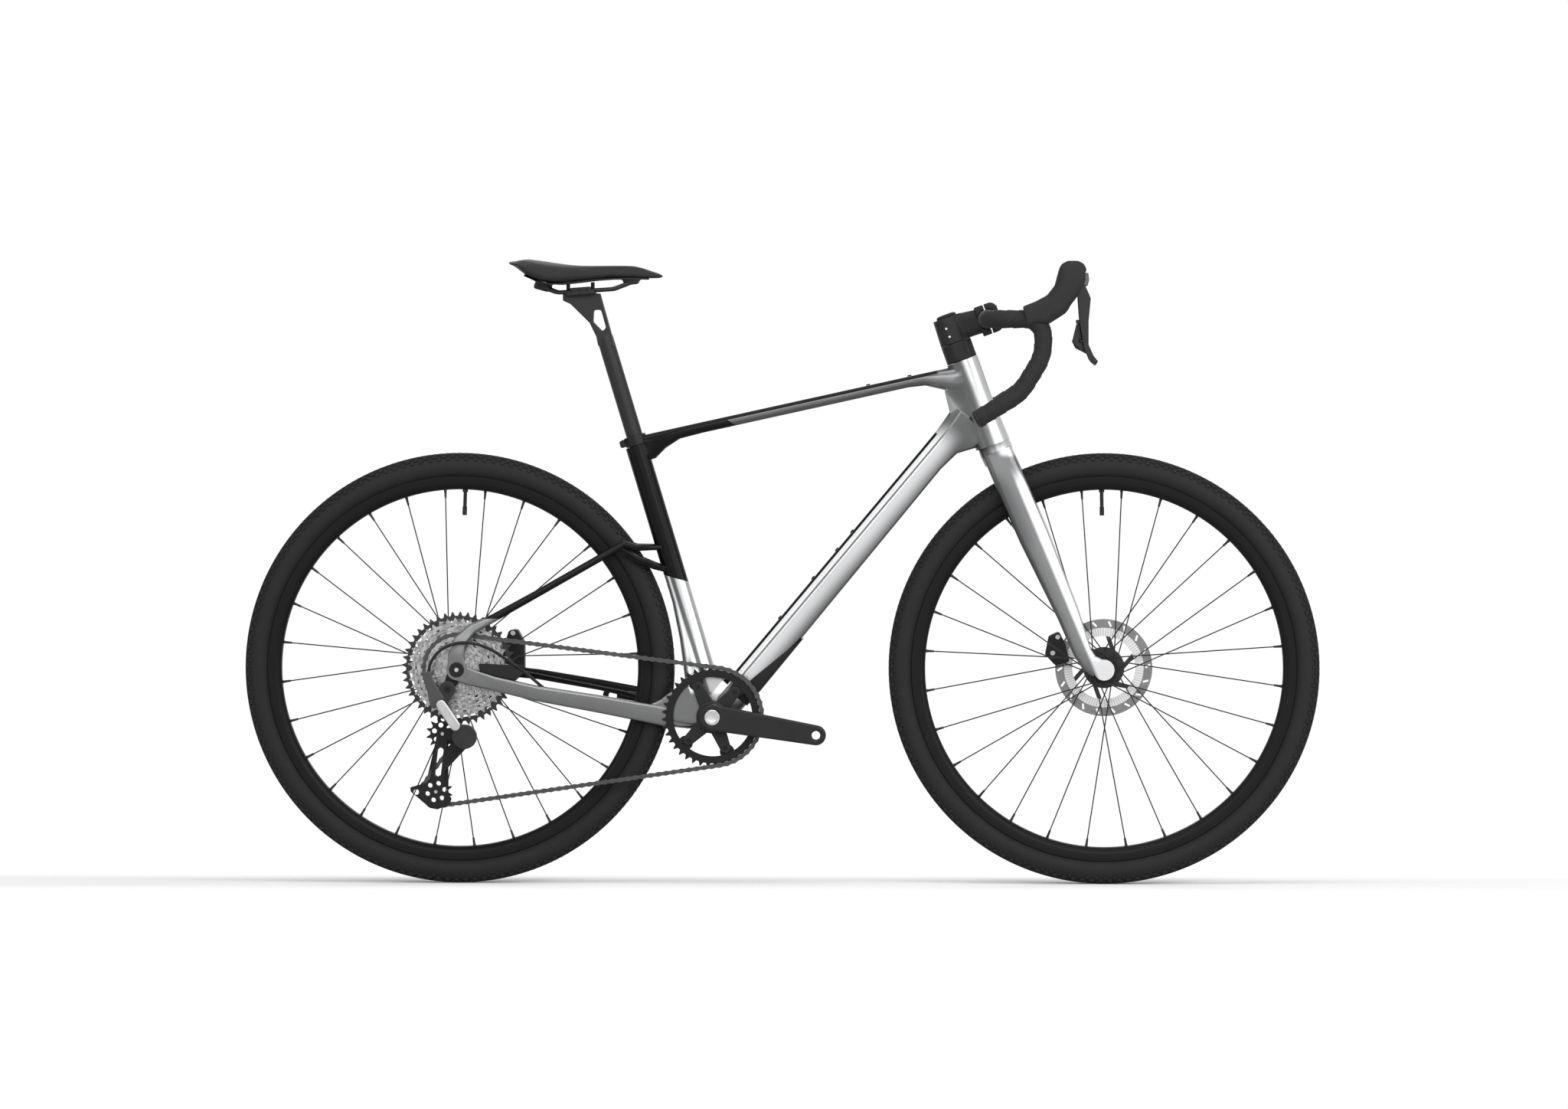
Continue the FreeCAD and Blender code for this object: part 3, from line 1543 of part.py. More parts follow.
def sprocket(centre, teeth, phase, place, thickness):
    """Toothed disc: a seat under each roller, and a flat-topped tooth between two seats."""
    pitch_radius = chain_pitch / (2 * math.sin(math.pi / teeth))
    pitch_angle = 360.0 / teeth
    seat_angle_half = math.degrees(2.3 / pitch_radius)
    tip_angle_half = math.degrees(0.6 / pitch_radius)
    points = []
    for i in range(teeth):
        middle = phase + i * pitch_angle
        tip = middle + pitch_angle / 2
        points.append(turn(middle - seat_angle_half) * (pitch_radius - tooth_root))
        points.append(turn(middle + seat_angle_half) * (pitch_radius - tooth_root))
        points.append(turn(tip - tip_angle_half) * (pitch_radius + tooth_tip))
        points.append(turn(tip + tip_angle_half) * (pitch_radius + tooth_tip))
    near = centre + ALONG * (place - thickness / 2)
    return Part.Face(polygon([near + point for point in points])).extrude(ALONG * thickness)


core_radius = freehub_radius + 3.0


def cog_windows(teeth, lean):
    """Six openings that leave arms between a large cog's teeth and its core."""
    inner = core_radius + 2.0
    outer = loop_radius(teeth) - tooth_root - 5.0
    windows = []
    for k in range(6):
        sides = ((inner, -20), (outer, -23), (outer, 0), (outer, 23), (inner, 20))
        corners = [rear_axle - ALONG * 80 + turn(lean + 60 * k + angle) * radius for radius, angle in sides]
        windows.append(Part.Face(polygon(corners)).extrude(ALONG * 80))
    return windows


driven_index = cog_teeth.index(driven_cog)
cog_phase = nearest_pin(rear_axle, driven_cog)
cassette_pieces = []
for i in range(len(cog_teeth)):
    place = -chain_line + (i - driven_index) * cog_spacing
    teeth = cog_teeth[i]
    cog = sprocket(rear_axle, teeth, cog_phase, place, cog_thickness)
    if teeth > 21:
        cog = cog.cut(cog_windows(teeth, 8 * i))
    cassette_pieces.append(cog)
first_face = rear_axle - ALONG * (chain_line + driven_index * cog_spacing + cog_thickness / 2)
last_cog = (len(cog_teeth) - 1 - driven_index) * cog_spacing
last_face = rear_axle + ALONG * (last_cog - chain_line + cog_thickness / 2)
cassette_core = rod(first_face, last_face, freehub_radius)
inner_core = rod(rear_axle - ALONG * (chain_line + cog_spacing * 2), last_face, core_radius)
freehub_hole = rod(first_face - ALONG, last_face + ALONG, freehub_radius - 2.4 + running_gap)
cassette = joined(cassette_pieces + [cassette_core, inner_core]).cut(freehub_hole)
save("cassette", cassette)
save(
    "freehub_body",
    ring(
        rear_axle - ALONG * (rear_face - seat_gap),
        rear_axle - ALONG * (freehub_inner + rest_gap),
        freehub_radius - 2.4,
        axle_bore_radius,
    ),
)

# Crankset: right arm with its spider, the spindle pressed into it, chainring, and left arm

arm_direction = turn(-crank_drop_angle)
right_pedal = bracket + arm_direction * crank_length
left_pedal = bracket - arm_direction * crank_length
arm_root_radius = 21.5
arm_inner_face = half_tread - crank_end_thickness
boss_radius = 21.5
boss_start = shell_width / 2 + cup_width + 0.8
spider_face = chain_line + ring_thickness / 2 + seat_gap
spider_thickness = 6.4
spider_angles = (-58.0, 58.0, -126.3, 126.3)
spider_middle_radius = 27.0
tab_radius = 9.0
spindle_end = arm_inner_face + 6.0
spindle_depth = 9.0


def pedal_hole(pedal):
    return rod(pedal - ALONG * 100, pedal + ALONG * 100, pedal_hole_diameter / 2)


right_arm_pieces = [
    strip(bracket, right_pedal, arm_root_radius, crank_end_radius, -half_tread, -arm_inner_face),
    rod(bracket - ALONG * arm_inner_face, bracket - ALONG * boss_start, boss_radius),
]
spider_outside = bracket - ALONG * (spider_face + spider_thickness)
right_arm_pieces.append(rod(spider_outside, bracket - ALONG * spider_face, spider_middle_radius))
bolt_points = []
for angle in spider_angles:
    arm_end = bracket + turn(angle - crank_drop_angle) * bolt_circle_radius
    bolt_points.append(arm_end)
    right_arm_pieces.append(
        strip(bracket, arm_end, 15.0, tab_radius, -spider_face - spider_thickness, -spider_face)
    )
cap_recess = rod(bracket - ALONG * (half_tread + 1), bracket - ALONG * (half_tread - 2), 12.6)
spindle_start = arm_inner_face + spindle_depth
spindle_seat = rod(bracket - ALONG * (spindle_start + seat_gap), bracket, spindle_radius + seat_gap)
spindle = rod(bracket - ALONG * spindle_start, bracket + ALONG * spindle_end, spindle_radius)
right_arm = joined(right_arm_pieces).cut([pedal_hole(right_pedal), cap_recess, spindle_seat])
save("crank_arm_right", right_arm, spindle)

left_arm_pieces = [
    strip(bracket, left_pedal, arm_root_radius, crank_end_radius, arm_inner_face, half_tread),
    rod(bracket + ALONG * boss_start, bracket + ALONG * arm_inner_face, boss_radius),
]
spindle_hole = rod(bracket, bracket + ALONG * (spindle_end + rest_gap), spindle_radius + running_gap)
save("crank_arm_left", joined(left_arm_pieces).cut([pedal_hole(left_pedal), spindle_hole]))

ring_phase = nearest_pin(bracket, ring_teeth)
ring_base = loop_radius(ring_teeth) - tooth_root - 1.4
ring_outer_face = chain_line + ring_thickness / 2
ring_inner_face = chain_line - ring_thickness / 2
ring_near = bracket - ALONG * ring_outer_face
ring_far = bracket - ALONG * ring_inner_face
tooth_plate = sprocket(bracket, ring_teeth, ring_phase, -chain_line, cog_thickness)
ring_pieces = [rod(ring_near, ring_far, ring_base), tooth_plate]
ring_solid = joined(ring_pieces).cut(rod(ring_near - ALONG, ring_far + ALONG, ring_inner_radius))
tabs = []
for point in bolt_points:
    outward = (point - bracket).normalize()
    root = bracket + outward * (ring_inner_radius - 3)
    tabs.append(strip(point, root, tab_radius, tab_radius + 3, -ring_outer_face, -ring_inner_face))
save("chainring", joined([ring_solid] + tabs))

# Rear derailleur: body on the hanger, two links, knuckle, and the sprung cage with its pulleys

body_near = -right_face - 17.0
body_far = -right_face - rest_gap
link_root = rear_point(-24, 0, -57)
link_tip = rear_point(-1, 0, -91)
stop_top = rear_point(-46, 0, -12)
stop_root = rear_point(-33, 0, -52)
derailleur_body = joined(
    [
        rod(hanger_eye + ALONG * body_near, hanger_eye + ALONG * body_far, 13.0),
        rod(hanger_eye + ALONG * body_near, hanger_eye - ALONG * dropout_inner, hanger_bolt_radius),
        strip(hanger_eye, link_root, 12.0, 9.0, body_near, body_far - 3),
        strip(stop_top, stop_root, 5.0, 8.0, body_near + 1, body_far - 5),
        strip(stop_root, link_root, 8.0, 9.0, body_near, body_far - 3),
    ]
)
housing_end = rod(housing_route[-2], housing_route[-1], housing_radius + seat_gap)
save("derailleur_body", derailleur_body.cut(housing_end))

link_gap = 0.3
link_thickness = 4.0
outer_plate = strip(
    link_root, link_tip, 8.0, 8.0, body_near - link_gap - link_thickness, body_near - link_gap
)
inner_plate = strip(
    link_root, link_tip, 7.0, 7.0, body_far - 3 + link_gap, body_far - 3 + link_gap + link_thickness
)
save("derailleur_links", outer_plate, inner_plate)

cage_half_room = 5.2
outer_cage_face = -chain_line - cage_half_room
knuckle_near = body_near
knuckle_far = body_far - 3
pivot_radius = cage_pivot_diameter / 2
knuckle = joined(
    [
        rod(cage_pivot + ALONG * knuckle_near, cage_pivot + ALONG * knuckle_far, 20.0),
        rod(
            cage_pivot + ALONG * knuckle_far,
            cage_pivot + ALONG * (outer_cage_face - cage_plate - rest_gap),
            12.0,
        ),
        strip(cage_pivot, link_tip, 14.0, 8.0, knuckle_near, knuckle_far),
    ]
)
pivot_hole = rod(
    cage_pivot + ALONG * (knuckle_near + 4), cage_pivot + ALONG * outer_cage_face, pivot_radius + running_gap
)
save("derailleur_knuckle", knuckle.cut(pivot_hole))

pulley_pin_radius = pulley_pin_diameter / 2
outer_near = outer_cage_face - cage_plate
inner_cage_face = -chain_line + cage_half_room
inner_far = inner_cage_face + cage_plate
cage_axis = (tension_centre - guide_centre).normalize()
cage_across = cage_axis.cross(ALONG)
tail_corners = (
    (-2.5, -43),
    (4.5, -41),
    (27.5, -7),
    (28.5, 6),
    (18, 25),
    (8, 27),
    (-8, 13),
    (-21, 7),
    (-11, -22),
)
tail = prism(
    [
        tension_centre + cage_axis * along + cage_across * across + ALONG * outer_near
        for along, across in tail_corners
    ],
    2.5,
    cage_plate,
)
pulley_hole_angles = [60.0 * k for k in range(6)]
pulley_hole_circle = 14.2
pulley_hole_radius = 4.0


def pulley_holes(centre, first_angle):
    """Round windows in a pulley, and in the cage's plates beside it."""
    holes = []
    for angle in pulley_hole_angles:
        middle = centre + turn(first_angle + angle) * pulley_hole_circle
        holes.append(rod(middle - ALONG * 80, middle + ALONG * 80, pulley_hole_radius))
    return holes


guide_holes = pulley_holes(guide_centre, 42.0)
tension_holes = pulley_holes(tension_centre, 13.0)
tail_hole_centre = tension_centre + cage_axis * 4.0 - cage_across * 32.0
tail_hole = rod(tail_hole_centre - ALONG * 80, tail_hole_centre + ALONG * 80, 4.5)
cage_window = strip(
    guide_centre + cage_axis * 28, tension_centre - cage_axis * 30, 5.0, 5.0, outer_near - 5, inner_far + 5
)
outer_cage = joined(
    [
        strip(cage_pivot, guide_centre, 14.0, 9.0, outer_near, outer_cage_face),
        strip(guide_centre, tension_centre, 9.0, 12.0, outer_near, outer_cage_face),
        strip(cage_pivot, tension_centre - cage_axis * 34, 14.0, 8.0, outer_near, outer_cage_face),
        tail,
    ]
)
inner_cage = strip(guide_centre, tension_centre, 9.0, 20.0, inner_cage_face, inner_far)
cage_cuts = [cage_window, tail_hole] + tension_holes
cage_pieces = [outer_cage.cut(cage_cuts), inner_cage.cut(cage_cuts)]
for centre in (guide_centre, tension_centre):
    cage_pieces.append(rod(centre + ALONG * outer_near, centre + ALONG * inner_far, pulley_pin_radius))
pivot_start = cage_pivot + ALONG * (knuckle_near + 4 + rest_gap)
cage_pieces.append(rod(pivot_start, cage_pivot + ALONG * outer_cage_face, pivot_radius))
save("derailleur_cage", joined(cage_pieces))

pulley_hub_half = cage_half_room - rest_gap
for name, centre, holes in (
    ("guide_pulley", guide_centre, guide_holes),
    ("tension_pulley", tension_centre, tension_holes),
):
    phase = nearest_pin(centre, pulley_teeth)
    wheel = sprocket(centre, pulley_teeth, phase, -chain_line, cog_thickness)
    pin_hole = rod(centre - ALONG * 80, centre + ALONG * 80, pulley_pin_radius + running_gap)
    hub = rod(
        centre - ALONG * (chain_line + pulley_hub_half), centre - ALONG * (chain_line - pulley_hub_half), 7.0
    )
    save(name, wheel.fuse(hub).cut([pin_hole] + holes))
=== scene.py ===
import bmesh
import bpy
import json
import math
from mathutils import Matrix, Vector
from mathutils.bvhtree import BVHTree


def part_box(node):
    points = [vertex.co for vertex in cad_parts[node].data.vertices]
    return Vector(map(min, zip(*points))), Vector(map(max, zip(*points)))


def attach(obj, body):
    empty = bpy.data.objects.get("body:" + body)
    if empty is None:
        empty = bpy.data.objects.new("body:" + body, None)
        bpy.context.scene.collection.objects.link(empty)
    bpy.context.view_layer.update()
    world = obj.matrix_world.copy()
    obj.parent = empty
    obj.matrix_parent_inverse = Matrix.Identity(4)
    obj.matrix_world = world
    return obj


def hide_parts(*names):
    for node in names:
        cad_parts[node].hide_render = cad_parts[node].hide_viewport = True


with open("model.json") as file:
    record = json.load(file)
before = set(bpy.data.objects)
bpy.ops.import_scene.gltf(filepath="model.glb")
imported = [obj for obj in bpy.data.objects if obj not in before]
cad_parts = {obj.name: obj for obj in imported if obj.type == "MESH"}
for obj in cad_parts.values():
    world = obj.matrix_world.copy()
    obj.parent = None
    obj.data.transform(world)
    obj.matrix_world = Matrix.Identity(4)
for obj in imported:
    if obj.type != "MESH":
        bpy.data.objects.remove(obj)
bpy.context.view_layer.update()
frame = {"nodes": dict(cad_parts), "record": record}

# The studio: a white floor and a white surround. The camera stands far off on the drive side, at about
# the height of the saddle. A broad softbox hangs over the camera's side, and tall strip lights ahead and
# behind draw out the tubes.


def fill(tree, socket, value):
    """Links a node's socket to another, or sets its value."""
    if isinstance(value, Shade):
        value = value.socket
    if isinstance(value, bpy.types.NodeSocket):
        tree.links.new(value, socket)
    else:
        socket.default_value = value


def grow(tree, kind, settings, sockets):
    """Node in a tree: its settings first, then its sockets by name or number."""
    made = tree.nodes.new(kind)
    for name, value in settings.items():
        setattr(made, name, value)
    for key, value in sockets.items():
        fill(tree, made.inputs[key], value)
    return made


class Shade:
    """A socket in a material: arithmetic on it adds Math nodes."""

    def __init__(self, tree, socket):
        self.tree = tree
        self.socket = socket

    def node(self, kind, settings, sockets, output=0):
        """Any other node in the same material."""
        return Shade(self.tree, grow(self.tree, kind, settings, sockets).outputs[output])

    def sum(self, operation, first, second):
        return self.node("ShaderNodeMath", {"operation": operation}, {0: first, 1: second})

    def __add__(self, other):
        return self.sum("ADD", self, other)

    __radd__ = __add__

    def __sub__(self, other):
        return self.sum("SUBTRACT", self, other)

    def __rsub__(self, other):
        return self.sum("SUBTRACT", other, self)

    def __mul__(self, other):
        return self.sum("MULTIPLY", self, other)

    __rmul__ = __mul__

    def __pow__(self, other):
        return self.sum("POWER", self, other)

    def most(self, other):
        return self.sum("MAXIMUM", self, other)

    def rise(self, low, high):
        """0 below low, 1 above high, and smooth between."""
        settings = {"interpolation_type": "SMOOTHSTEP"}
        return self.node("ShaderNodeMapRange", settings, {0: self, 1: low, 2: high})

    def tint(self, first, second):
        """Colour from first to second as this goes from 0 to 1."""
        settings = {"data_type": "RGBA"}
        return self.node("ShaderNodeMix", settings, {0: self, 6: first, 7: second}, 2)


scene = bpy.context.scene
scene.view_settings.view_transform = "Standard"


def linked(name, data):
    """New object in the scene."""
    holder = bpy.data.objects.new(name, data)
    scene.collection.objects.link(holder)
    return holder


def aimed(holder, place, target):
    """Stands a camera or a lamp at a place, and turns it to a target."""
    holder.location = place
    holder.rotation_euler = (target - Vector(place)).to_track_quat("-Z", "Y").to_euler()


camera = linked("camera", bpy.data.cameras.new("camera"))
aimed(camera, (0.45, -14.0, 0.95), Vector((0.004, 0.0, 0.541)))
camera.data.sensor_width = 36.0
camera.data.lens = 195.6
camera.data.clip_end = 200.0
scene.camera = camera
lamp_target = Vector((0.0, 0.0, 0.55))


def softbox(name, place, size, power):
    lamp = bpy.data.lights.new(name, "AREA")
    lamp.shape = "RECTANGLE"
    lamp.size, lamp.size_y = size
    lamp.energy = power
    holder = linked(name, lamp)
    aimed(holder, place, lamp_target)
    holder.visible_camera = False


softbox("overhead", (0.0, -0.8, 3.4), (3.6, 1.2), 48.0)
softbox("over_camera", (0.8, -4.2, 2.3), (4.5, 2.7), 170.0)
softbox("strip_ahead", (3.0, -1.7, 1.4), (1.5, 2.4), 42.0)
softbox("strip_behind", (-3.3, -2.2, 1.4), (1.0, 2.4), 30.0)
softbox("far_side", (0.3, 3.4, 2.2), (3.0, 1.2), 28.0)


def seen_rays(tree):
    """1 for rays from the camera, from gloss and through glass, and 0 for the rest."""
    path = tree.nodes.new("ShaderNodeLightPath")
    kinds = ("Is Camera Ray", "Is Glossy Ray", "Is Transmission Ray")
    straight, gloss, glass = [Shade(tree, path.outputs[kind]) for kind in kinds]
    return straight.most(gloss).most(glass)


surround = bpy.data.worlds.new("surround")
scene.world = surround
surround.use_nodes = True
fill_light = 0.25
sky = seen_rays(surround.node_tree) * (1.0 - fill_light) + fill_light
backdrop = surround.node_tree.nodes["Background"]
fill(surround.node_tree, backdrop.inputs["Color"], (1, 1, 1, 1))
fill(surround.node_tree, backdrop.inputs["Strength"], sky)

floor_reach = 30.0
floor_corners = [(x * floor_reach, y * floor_reach, 0.0) for x, y in ((-1, -1), (1, -1), (1, 1), (-1, 1))]
floor_mesh = bpy.data.meshes.new("floor")
floor_mesh.from_pydata(floor_corners, [], [(0, 1, 2, 3)])
floor = linked("floor", floor_mesh)
floor_paint = bpy.data.materials.new("floor_white")
floor_paint.use_nodes = True
floor_tree = floor_paint.node_tree
floor_tree.nodes.clear()
floor_place = Shade(floor_tree, floor_tree.nodes.new("ShaderNodeTexCoord").outputs["Object"])
floor_distance = floor_place.node("ShaderNodeVectorMath", {"operation": "LENGTH"}, {0: floor_place}, 1)
floor_side = floor_place.node("ShaderNodeSeparateXYZ", {}, {0: floor_place}, 1)
floor_side = floor_side.most(0 - floor_side)
least_glow = 0.06
floor_glow = floor_distance.rise(0.9, 1.8).most(floor_side.rise(0.02, 0.2))
floor_glow = seen_rays(floor_tree) * (least_glow + (1 - least_glow) * floor_glow)
floor_matt = floor_place.node("ShaderNodeBsdfDiffuse", {}, {"Color": (0.84, 0.84, 0.84, 1)})
floor_light = floor_place.node("ShaderNodeEmission", {}, {})
floor_skin = floor_place.node("ShaderNodeMixShader", {}, {0: floor_glow, 1: floor_matt, 2: floor_light})
grow(floor_tree, "ShaderNodeOutputMaterial", {}, {"Surface": floor_skin})
floor_mesh.materials.append(floor_paint)

# The frame: carbon fibre laid up in one mould, so tubes run into each other with no welds.
# It is painted satin silver, with black on the upper seat tube, the stays and the top edges. Light and shade
# are painted into the silver: lighter on the flanks that face up or forward, darker below and behind, with a
# painted dark crease line and a painted highlight strip along the top of the down tube.

body_of = {}
for body, members in frame["record"]["behaviour"]["bodies"].items():
    for member in members:
        body_of[member] = body


def merged_copy(node):
    """The solid's own mesh as a new piece, with its loose triangles joined."""
    mesh = frame["nodes"][node].data.copy()
    shape = bmesh.new()
    shape.from_mesh(mesh)
    bmesh.ops.remove_doubles(shape, verts=shape.verts, dist=3e-6)
    shape.to_mesh(mesh)
    shape.free()
    mesh.materials.clear()
    return linked(node + "_piece", mesh)


def settled(piece):
    """Makes what the modifiers give the piece's own plain mesh."""
    graph = bpy.context.evaluated_depsgraph_get()
    made = bpy.data.meshes.new_from_object(piece.evaluated_get(graph), depsgraph=graph)
    piece.modifiers.clear()
    piece.data = made
    return piece


def melted(piece, voxel):
    """Adds a step that makes one even skin of a piece."""
    remesh = piece.modifiers.new("voxels", "REMESH")
    remesh.mode = "VOXEL"
    remesh.voxel_size = voxel
    remesh.use_smooth_shade = True


def evened(piece, rounds):
    """Adds a step that smooths a piece's skin."""
    smooth = piece.modifiers.new("rounding", "SMOOTH")
    smooth.factor = 0.5
    smooth.iterations = rounds


def rounded(piece, voxel, rounds):
    """Rounds a piece's edges and joins, as moulding or forging leaves them."""
    melted(piece, voxel)
    evened(piece, rounds)
    return settled(piece)


def moulded(node, voxel, rounds):
    return rounded(merged_copy(node), voxel, rounds)


def creased(piece, sharp_degrees):
    """Shades a mesh smooth, apart from edges that turn by more than the angle."""
    shape = bmesh.new()
    shape.from_mesh(piece.data)
    limit = math.radians(sharp_degrees)
    for face in shape.faces:
        face.smooth = True
    for edge in shape.edges:
        edge.smooth = edge.calc_face_angle(0.0) < limit
    shape.to_mesh(piece.data)
    shape.free()
    return piece


def fixed(piece, material, body):
    """Gives a piece its material, and sets it on a body."""
    piece.data.materials.clear()
    piece.data.materials.append(material)
    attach(piece, body)
    return piece


def seated(piece, material, node):
    """Sets a piece on the body of the solid that it stands for, and hides the solid."""
    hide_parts(node)
    return fixed(piece, material, body_of[node])


def copied(node, material, sharp_degrees=35):
    """Crisp piece with a solid's own shape, set in its place."""
    return seated(creased(merged_copy(node), sharp_degrees), material, node)


def cast(node, material, voxel, rounds):
    """Piece with a solid's shape and rounded edges, set in its place."""
    return seated(moulded(node, voxel, rounds), material, node)


def built(name, shape):
    """Object from a mesh that has been built, with its faces turned outwards."""
    bmesh.ops.recalc_face_normals(shape, faces=shape.faces)
    mesh = bpy.data.meshes.new(name)
    shape.to_mesh(mesh)
    shape.free()
    return linked(name, mesh)


def joined_rings(shape, rings):
    """Faces from each ring of corners to the next, in a mesh that is being built."""
    for here, after in zip(rings, rings[1:]):
        for k in range(len(here)):
            beside = (k + 1) % len(here)
            shape.faces.new((here[k], here[beside], after[beside], after[k]))


def closed_rings(shape, rings):
    """The same, with a flat face on the first ring and on the last."""
    joined_rings(shape, rings)
    shape.faces.new(rings[0][::-1])
    shape.faces.new(rings[-1])


def prism_between(shape, outline, near, far):
    """Flat shape in the side view, given thickness from near to far, added to a mesh being built."""
    closed_rings(shape, [[shape.verts.new((x, side, z)) for x, z in outline] for side in (near, far)])


def plates(name, prisms, voxel, rounds):
    """One rounded piece from flat shapes in the side view, each with its near and far side."""
    shape = bmesh.new()
    for outline, near, far in prisms:
        prism_between(shape, outline, near, far)
    return rounded(built(name, shape), voxel, rounds)


def outline_about(middle, places):
    """Outline in the side view, from places in millimetres about a point."""
    return [(middle.x + x / 1000, middle.z + z / 1000) for x, z in places]


def new_finish(name):
    """Empty finish: the material, and where on the piece a point is."""
    material = bpy.data.materials.new(name)
    material.use_nodes = True
    tree = material.node_tree
    return material, Shade(tree, tree.nodes.new("ShaderNodeTexCoord").outputs["Object"])


def finished(material, values):
    """The finish, with values and links in its main shader."""
    tree = material.node_tree
    for name, value in values.items():
        fill(tree, tree.nodes["Principled BSDF"].inputs[name], value)
    return material


def noise(place, scale, detail=2.0):
    return place.node("ShaderNodeTexNoise", {}, {"Vector": place, "Scale": scale, "Detail": detail})


def bump(height, strength, distance):
    return height.node("ShaderNodeBump", {}, {"Height": height, "Strength": strength, "Distance": distance})


def axes(place):
    return [place.node("ShaderNodeSeparateXYZ", {}, {0: place}, k) for k in range(3)]


def grey(value, warmth=0.0):
    return (value * (1 + warmth), value, value * (1 - warmth), 1.0)


def along_line(x, z, start, direction):
    """Distances along a line in the side view, and above it."""
    ahead = (x - start[0]) * direction[0] + (z - start[1]) * direction[1]
    above = (z - start[1]) * direction[0] - (x - start[0]) * direction[1]
    return ahead, above


def between(value, low, high, blur):
    """1 from low to high, and 0 outside, with both edges blurred."""
    return value.rise(low - blur, low) * (1 - value.rise(high, high + blur))


def silver_with_painted_light(x, z, down_ahead, down_above, top_ahead, top_above):
    """How light the silver is: a plain tone, with light and shade painted across each tube, in metres from
    its line.
    """
    plain = 0.135
    # Down tube: painted light, lighter up the flank, with a painted dark crease line and a painted highlight
    # strip above it.
    flank = 0.11 + 0.53 * down_above.rise(-0.024, 0.004)
    crease = between(down_above, 0.0105, 0.013, 0.001)
    upper = down_above.rise(0.013, 0.014)
    down = flank + upper * 0.2 - crease * 0.5
    down_part = between(down_ahead, 0.05, 0.57, 0.05) * between(down_above, -0.05, 0.03, 0.002)
    top_part = between(top_above, -0.02, 0.02, 0.002) * (1 - top_ahead.rise(0.46, 0.52))
    # Fork blades: painted light, light along the front edge and dark behind it.
    blade_ahead = x + (z - 0.354) * 0.42 - 0.53
    blade = 0.08 + 0.05 * blade_ahead.rise(-0.045, -0.018) + 0.4 * blade_ahead.rise(-0.019, -0.012)
    blade_part = x.rise(0.34, 0.36) * (1 - z.rise(0.65, 0.69))
    # Seat tube: painted light and shade, light at its back, a dark band across it, and mid grey at its front.
    seat_ahead = x + (z - 0.47) * 0.3125 + 0.168
    seat = 0.75 - 0.65 * seat_ahead.rise(-0.007, -0.003) + 0.3 * seat_ahead.rise(0.001, 0.005)
    seat_part = between(seat_ahead, -0.028, 0.028, 0.002) * between(z, 0.32, 0.51, 0.01)
    # Head tube: painted light, lighter at its front.
    head_ahead = x + (z - 0.86) * 0.4 - 0.3
    head = 0.12 + 0.35 * head_ahead.rise(-0.008, 0.004)
    head_part = x.rise(0.25, 0.27) * z.rise(0.7, 0.71)
    # The top tube takes a darker tone, 0.085, as painted shade; the other tubes take their painted light and
    # shade from above.
    tone = plain + down_part * (down - plain) + top_part * (0.085 - plain) + blade_part * (blade - plain)
    return tone + seat_part * (seat - plain) + head_part * (head - plain)


down_start, down_way = (-0.1045, 0.276), (0.6421, 0.7667)
top_start, top_way = (-0.2297, 0.7371), (0.9766, 0.2153)


def frame_paint():
    material, place = new_finish("frame_paint")
    x, y, z = axes(place)
    down_ahead, down_above = along_line(x, z, down_start, down_way)
    top_ahead, top_above = along_line(x, z, top_start, top_way)
    crisp = 0.0006
    down_edge = down_above.rise(0.0205, 0.0205 + crisp) * (1 - down_above.rise(0.03, 0.031))
    down_edge = down_edge * down_ahead.rise(0.05, 0.051) * (1 - down_ahead.rise(0.585, 0.59))
    top_edge = top_above.rise(-0.006, -0.006 + crisp) * (1 - top_ahead.rise(0.495, 0.5))
    top_edge = top_edge * top_above.rise(-0.1, -0.09) * (1 - top_above.rise(0.02, 0.021))
    top_break = (x + 0.0855) + (z - 0.7605) * 1.46
    seat_break = (z - 0.5028) + (x + 0.177) * 0.27
    rear = (1 - top_break.rise(0.0, crisp)) * seat_break.rise(0.0, crisp) * down_above.rise(0.05, 0.052)
    stays = (1 - x.rise(-0.205, -0.2)) * z.rise(0.437, 0.437 + crisp)
    left_stay = y.rise(0.012, 0.016) * (1 - z.rise(0.445, 0.447)) * (1 - x.rise(-0.152, -0.148))
    black = rear.most(stays).most(left_stay).most(down_edge).most(top_edge)
    cloud = noise(place, 9.0, 3.0)
    flake = noise(place, 2600.0, 1.0)
    speckle = 0.85 + cloud * 0.15 + flake * 0.15
    # The silver's base colour carries the painted light and shade, flecked by the speckle.
    tone = silver_with_painted_light(x, z, down_ahead, down_above, top_ahead, top_above) * speckle
    silver = tone.tint(grey(0.0), grey(1.0, -0.012))
    values = {
        "Base Color": black.tint(silver, grey(0.003)),
        "Metallic": (1 - black) * 0.95,
        "Roughness": 0.3 - black * 0.08 + cloud * 0.04,
        "Specular IOR Level": 0.1,
        "Normal": bump(flake * 0.3 + noise(place, 140.0), 0.05, 0.00015),
    }
    return finished(material, values)


paint = frame_paint()
frame_piece = copied("frame", paint, 40)

# The bracket junction: the mould swells where the tubes meet the bottom bracket, behind the chainring,
# and the right chainstay deepens towards it. It is one skin with the frame.

bracket = Vector((-0.111507, 0.0, 0.276))
swell_places = (
    (-58, -17), (-40, -20), (-18, -27), (0, -29), (17, -23), (26, -8), (24, 8), (9, 27), (31, 52),
    (38, 62), (22, 68), (9, 66), (-8, 72), (-30, 75), (-46, 62), (-56, 48), (-59, 30),
)
stay_places = ((-104, 20), (-88, 27), (-63, 46), (-46, 53), (-28, 46), (-16, 24), (-16, -16), (-104, -4))
swell = (outline_about(bracket, swell_places), -0.0285, 0.0285)
deep_stay = (outline_about(bracket, stay_places), -0.0385, -0.0265)
fixed(plates("bracket_junction", (swell, deep_stay), 0.0018, 8), paint, "frame")

# Guards: a black moulded skin under the down tube keeps off stones, and a rubber pad on the right
# chainstay quiets the chain. Both are glued on.


